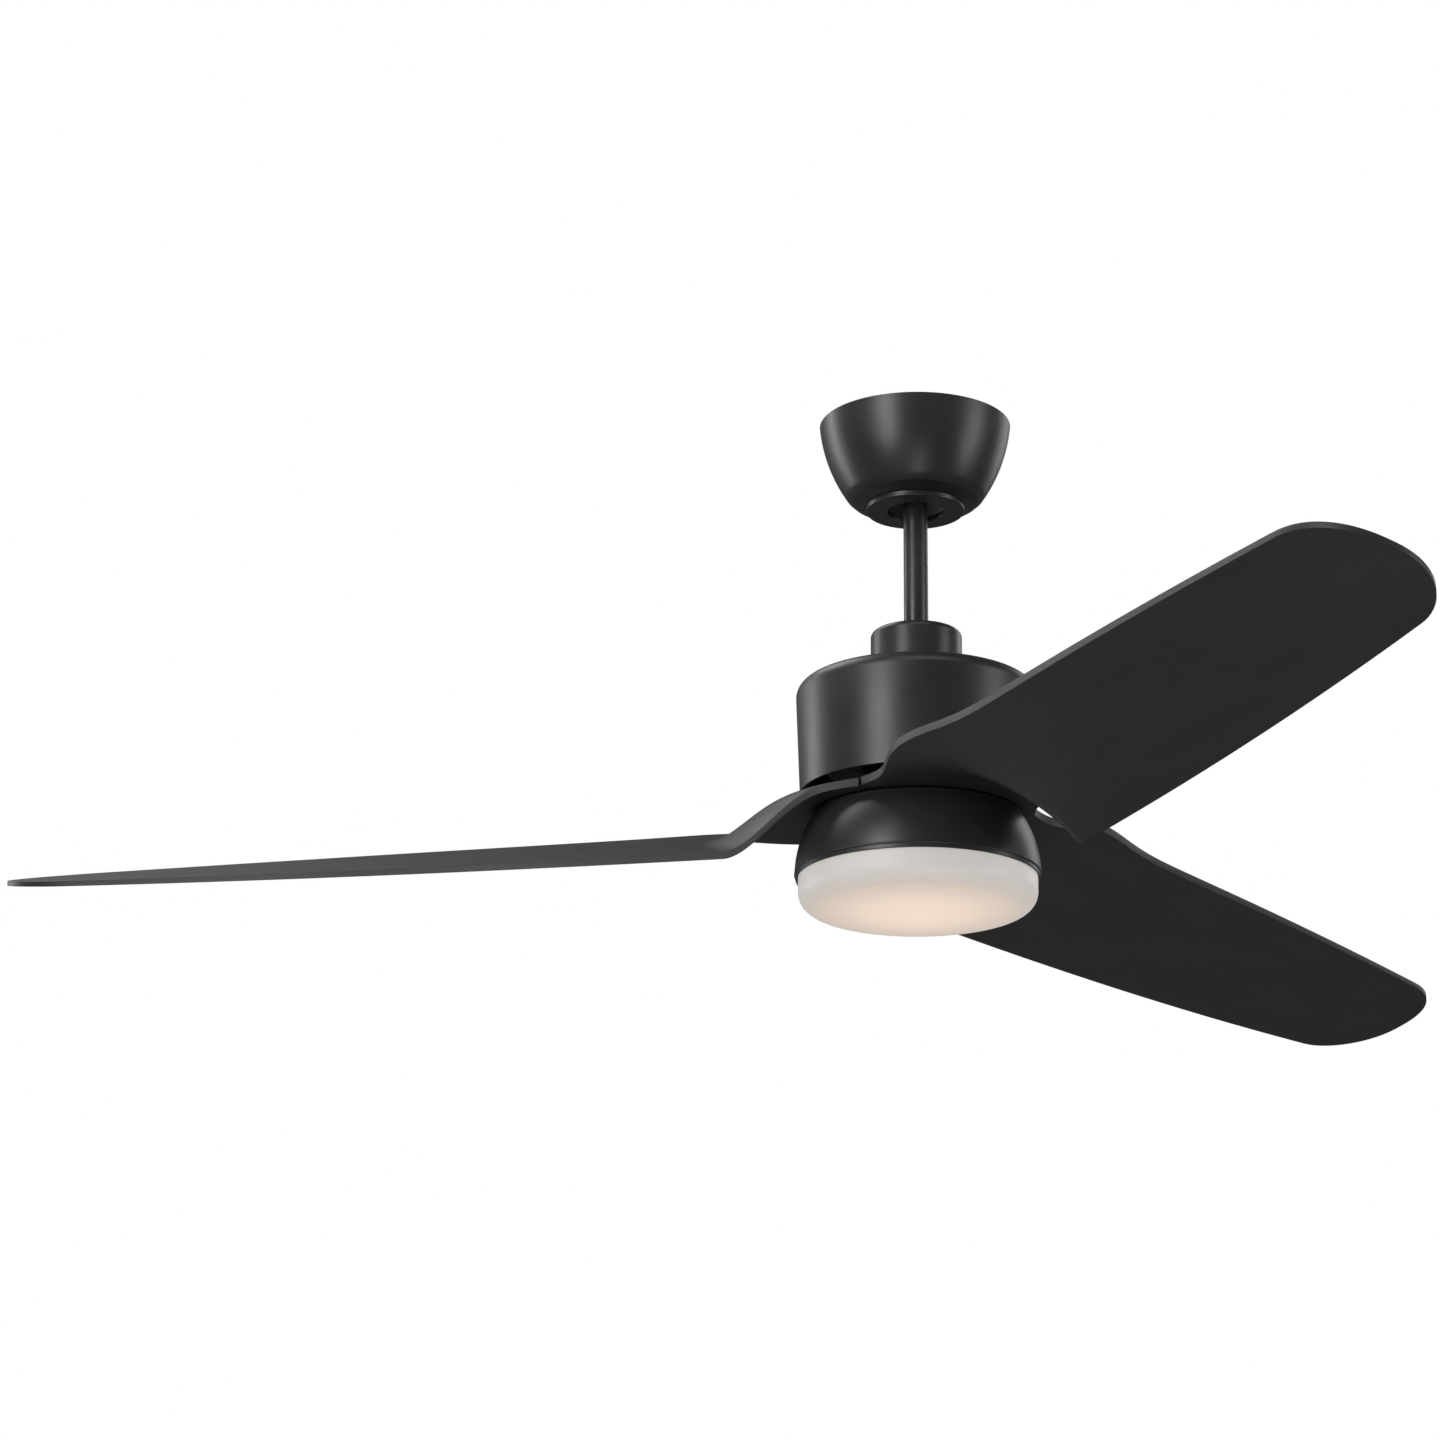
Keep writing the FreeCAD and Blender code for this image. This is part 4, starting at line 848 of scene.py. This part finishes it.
def bladeRecipe():
    inputs = [*bladeLift, "Root Level", "Angle"]
    r = Recipe("bladeFold", {label: "Float" for label in inputs})
    g = r.given
    x, y, side = r.place()
    offset = y - g["Fold Centre"]
    reach = (x * x + (g["Fold Squash"] * offset) * (g["Fold Squash"] * offset)) ** 0.5
    t = r.clamped((reach - g["Fold Start"]) / (g["Fold End"] - g["Fold Start"]))
    fold = t * t * (3 - 2 * t)
    span = r.maths("MAXIMUM", x, 0.0) / g["Tip"]
    drop = g["Centre Drop"] + g["Centre Slope"] * x - g["Centre Curve"] * x * x
    outer = 0 - drop - (y - g["Shift"]) * (g["Pitch"] - g["Pitch Loss"] * span ** g["Loss Power"])
    highSide = r.clamped((0 - g["Dip From"] - y) / g["Dip Width"])
    nearDip = (x - g["Dip At"]) / g["Dip Spread"]
    dip = g["Dip"] * highSide * highSide * r.maths("EXPONENT", 0 - nearDip * nearDip)
    thin = r.clamped((x - g["Thin From"]) / (g["Tip"] - g["Thin From"]))
    thick = g["Root Thickness"] - (g["Root Thickness"] - g["Tip Thickness"]) * thin
    z = outer * fold - dip + side * thick
    mm = 0.001
    lifted = r.moved(g["Geometry"], r.vector(x * mm, y * mm, z * mm + g["Root Level"]))
    turned = r.node("GeometryNodeTransform", None,
                    {"Geometry": lifted, "Rotation": r.vector(0.0, 0.0, g["Angle"])})["Geometry"]
    return r.close(turned)


def buildBlades():
    slab = bladeSlab()
    recipe = bladeRecipe()
    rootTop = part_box("blade_gaskets")[0][2]
    rootLevel = rootTop - bladeLift["Root Thickness"] * 0.0005
    for index, letter in enumerate("abc"):
        angle = math.radians(bladePlan["firstAngle"] + index * bladePlan["sector"])
        grow("blade" + letter.upper(), slab, recipe, {**bladeLift, "Root Level": rootLevel, "Angle": angle},
             "rotor", "blade_black", ["blade_" + letter], bladePlan["edgeRound"])


# screws have a threaded shank, a domed head and a cross recess
screwSets = {  # head radius and height, shank radius and length in millimetres; way +1 points the tip up
    "canopyScrews": {"node": "canopy_screws", "body": "ceiling_mount", "head": (3.8, 1.2), "way": 1},
    "housingScrews": {"node": "housing_screws", "body": "hanging_body", "head": (3.8, 2.4), "way": -1},
    "rotorScrews": {"node": "rotor_screws", "body": "rotor", "head": (3.0, 2.0), "way": -1},
    "hubScrews": {"node": "hub_screws", "body": "rotor", "head": (3.6, 2.2), "way": 1},
    "bladeScrews": {"node": "blade_screws", "body": "rotor", "head": (5.0, 2.7), "way": 1},
    "bowlScrews": {"node": "bowl_screws", "body": "hanging_body", "head": (3.4, 2.0), "way": 1},
    "boardScrews": {"node": "board_screws", "body": "hanging_body", "head": (2.8, 1.6), "way": 1},
}
screwLook = {"threadDepth": 0.16, "pitch": 0.8, "sides": 16, "crossShare": 0.66, "crossWidth": 0.24}


def islands(node):  # centres and sizes of the separate solids of a CAD node
    shape = bmesh.new()
    shape.from_mesh(frame["nodes"][node].data)
    bmesh.ops.remove_doubles(shape, verts=shape.verts, dist=1e-6)
    left = set(shape.verts)
    found = []
    while left:
        stack = [left.pop()]
        group = []
        while stack:
            here = stack.pop()
            group.append(here.co.copy())
            for edge in here.link_edges:
                other = edge.other_vert(here)
                if other in left:
                    left.remove(other)
                    stack.append(other)
        low = Vector([min(point[i] for point in group) for i in range(3)])
        high = Vector([max(point[i] for point in group) for i in range(3)])
        found.append((low, high))
    shape.free()
    return sorted(found, key=lambda pair: (round(pair[0].z, 5), round(pair[0].x, 5), round(pair[0].y, 5)))


def screwRecipe():
    inputs = ["Head Radius", "Head Height", "Shank Radius", "Length", "Pitch", "Thread Depth",
              "Cross", "Cross Width", "Tilt"]
    r = Recipe("machineScrew", {label: "Float" for label in inputs})
    g = r.given
    steps = r.maths("CEIL", g["Length"] / g["Pitch"] * 5)
    shank = r.node("GeometryNodeMeshCylinder", None,
                   {"Vertices": screwLook["sides"], "Side Segments": steps, "Radius": 1.0,
                    "Depth": g["Length"]})["Mesh"]
    x, y, z = r.place()
    angle = r.maths("ARCTAN2", y, x) / math.tau
    phase = r.maths("PINGPONG", z / g["Pitch"] + angle, 0.5) * 2
    radius = g["Shank Radius"] - g["Thread Depth"] * phase
    shank = r.moved(shank, r.vector(x * radius, y * radius, z + g["Length"] / 2))
    head = r.node("GeometryNodeMeshCylinder", None,
                  {"Vertices": 24, "Side Segments": 5, "Radius": 1.0, "Depth": g["Head Height"]})["Mesh"]
    x, y, z = r.place()
    rise = r.clamped(0.5 - z / g["Head Height"])
    dome = g["Head Radius"] * (1 - 0.42 * rise ** 3)
    head = r.moved(head, r.vector(x * dome, y * dome, z - g["Head Height"] / 2))
    long, wide, deep = g["Cross"], g["Cross Width"], g["Head Height"]
    bars = [r.node("GeometryNodeMeshCube", None, {"Size": r.vector(*size)})["Mesh"]
            for size in ((long, wide, deep), (wide, long, deep))]
    cross = r.node("GeometryNodeTransform", None,
                   {"Geometry": r.joined(*bars),
                    "Translation": r.vector(0.0, 0.0, g["Head Height"] * -1.05)})["Geometry"]
    recessed = r.node("GeometryNodeMeshBoolean", {"operation": "DIFFERENCE"},
                      {"Mesh 1": head, "Mesh 2": cross})["Mesh"]
    screw = r.joined(shank, recessed)
    return r.close(r.copied(g["Geometry"], screw, r.vector(g["Tilt"], 0.0, 0.0)))


def buildScrews():
    recipe = screwRecipe()
    mm = 0.001
    for name, kind in screwSets.items():
        headRadius, headHeight = (size * mm for size in kind["head"])
        solids = islands(kind["node"])
        upward = kind["way"] > 0
        seats = [((low.x + high.x) / 2, (low.y + high.y) / 2,
                  low.z + headHeight if upward else high.z - headHeight) for low, high in solids]
        low, high = solids[0]
        sizes = {"Head Radius": headRadius, "Head Height": headHeight,
                 "Shank Radius": shankOf(kind["node"], solids[0], kind["way"]),
                 "Length": high.z - low.z - headHeight, "Pitch": screwLook["pitch"] * mm,
                 "Thread Depth": screwLook["threadDepth"] * mm,
                 "Cross": 2 * headRadius * screwLook["crossShare"],
                 "Cross Width": headRadius * screwLook["crossWidth"], "Tilt": 0.0 if upward else math.pi}
        grow(name, pointMesh(name, seats), recipe, sizes, kind["body"], "zinc_steel", [kind["node"]])


def shankOf(node, solid, way):  # shank radius read from the end away from the head
    low, high = solid
    end = high.z if way > 0 else low.z
    middle = (low + high) / 2
    return max(math.hypot(point.co.x - middle.x, point.co.y - middle.y)
               for point in frame["nodes"][node].data.vertices
               if abs(point.co.z - end) < 1e-5 and (point.co.xy - middle.xy).length < 0.008)


def ringRecipe():
    r = Recipe("evenRing", {"Count": "Int", "Start": "Float"})
    g = r.given
    points = r.node("GeometryNodePoints", None, {"Count": g["Count"]})["Points"]
    index = r.node("GeometryNodeInputIndex")["Index"]
    turn = r.vector(0.0, 0.0, index * math.tau / g["Count"] + g["Start"])
    return r.close(r.copied(points, g["Geometry"], turn))


coilLook = {"count": 12, "turns": 15, "wire": 0.00068, "stepsAround": 32, "square": 5.0,
            "inner": 0.033, "outer": 0.056, "halfWidth": 0.0063, "endRoom": 0.0022}


def coilRecipe():
    r = Recipe("toothCoil", {"Turns": "Float", "Wire": "Float", "From": "Float", "To": "Float",
                             "Half Width": "Float", "Half Height": "Float", "Level": "Float", "Count": "Int"})
    g = r.given
    line = r.node("GeometryNodeCurvePrimitiveLine", None, {"Start": (0, 0, 0), "End": (1, 0, 0)})["Curve"]
    path = r.node("GeometryNodeResampleCurve", None,
                  {"Curve": line, "Count": g["Turns"] * coilLook["stepsAround"] + 1})["Curve"]
    share, _, _ = r.place()
    angle = share * g["Turns"] * math.tau
    across, up = r.maths("COSINE", angle), r.maths("SINE", angle)
    power = coilLook["square"]
    size = (r.maths("ABSOLUTE", across) ** power + r.maths("ABSOLUTE", up) ** power) ** (1 / power)
    wound = r.moved(path, r.vector(g["From"] + (g["To"] - g["From"]) * share, across / size * g["Half Width"],
                                   up / size * g["Half Height"] + g["Level"]))
    ring = r.node("GeometryNodeCurvePrimitiveCircle", None, {"Resolution": 6, "Radius": g["Wire"]})["Curve"]
    wire = r.node("GeometryNodeCurveToMesh", None,
                  {"Curve": wound, "Profile Curve": ring, "Fill Caps": True})["Mesh"]
    points = r.node("GeometryNodePoints", None, {"Count": g["Count"]})["Points"]
    index = r.node("GeometryNodeInputIndex")["Index"]
    return r.close(r.copied(points, wire, r.vector(0.0, 0.0, index * math.tau / g["Count"])))


def buildWindings():
    low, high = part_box("stator_windings")
    wire = coilLook["wire"]
    sizes = {"Turns": float(coilLook["turns"]), "Wire": wire, "From": coilLook["inner"] + wire,
             "To": coilLook["outer"] - wire, "Half Width": coilLook["halfWidth"],
             "Half Height": (high.z - low.z) / 2 - coilLook["endRoom"], "Level": (low.z + high.z) / 2,
             "Count": coilLook["count"]}
    grow("statorCoils", pointMesh("coilSeed", [(0, 0, 0)]), coilRecipe(), sizes,
         "hanging_body", "winding_copper", ["stator_windings"], sharp=60.0)


chipRings = {"rings": ((12.0, 6), (26.0, 12), (50.0, 18), (63.0, 24)), "size": 3.5,  # millimetres, and counts
             "bevel": 0.12, "frame": 0.4, "sink": 0.12}


def chipMesh(radius):  # one package: a frame with a sunk gel window
    mm = 0.001
    size = chipRings["size"] * mm / 2
    low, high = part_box("led_chips")
    shape = bmesh.new()
    bmesh.ops.create_cube(shape, size=1.0)
    for corner in shape.verts:
        corner.co = Vector((corner.co.x * 2 * size + radius, corner.co.y * 2 * size,
                            low.z if corner.co.z < 0 else high.z))
    bmesh.ops.bevel(shape, geom=list(shape.edges), offset=chipRings["bevel"] * mm, segments=1, affect="EDGES")
    window = max(shape.faces, key=lambda face: -face.calc_center_median().z * 100 + face.calc_area())
    bmesh.ops.inset_individual(shape, faces=[window], thickness=chipRings["frame"] * mm,
                               depth=-chipRings["sink"] * mm)
    mesh = bpy.data.meshes.new("chip")
    shape.to_mesh(mesh)
    shape.free()
    return mesh


def joinPieces(name, pieces, body, slot, nodes):
    shape = bmesh.new()
    for piece in pieces:
        shape.from_mesh(piece.data)
    mesh = bpy.data.meshes.new(name)
    shape.to_mesh(mesh)
    shape.free()
    for piece in pieces:
        bpy.data.objects.remove(piece)
    return place(name, mesh, body, slot, nodes)


def buildChips():
    recipe = ringRecipe()
    rings = [grow("chipRing%d" % count, chipMesh(radius * 0.001), recipe, {"Count": count, "Start": 0.0},
                  "hanging_body", "chip_yellow", []) for radius, count in chipRings["rings"]]
    joinPieces("ledChips", rings, "hanging_body", "chip_yellow", ["led_chips"])


def buildHub():  # the casting with its faces joined, painted like the housing
    shape = bmesh.new()
    shape.from_mesh(frame["nodes"]["blade_hub"].data)
    bmesh.ops.remove_doubles(shape, verts=shape.verts, dist=1e-6)
    mesh = bpy.data.meshes.new("hubSpider")
    shape.to_mesh(mesh)
    shape.free()
    place("hubSpider", smoothed(mesh), "rotor", "black_paint", ["blade_hub"])


for build in (buildBlades, buildHub, buildScrews, buildWindings, buildChips):
    build()
    print(build.__name__, "done")
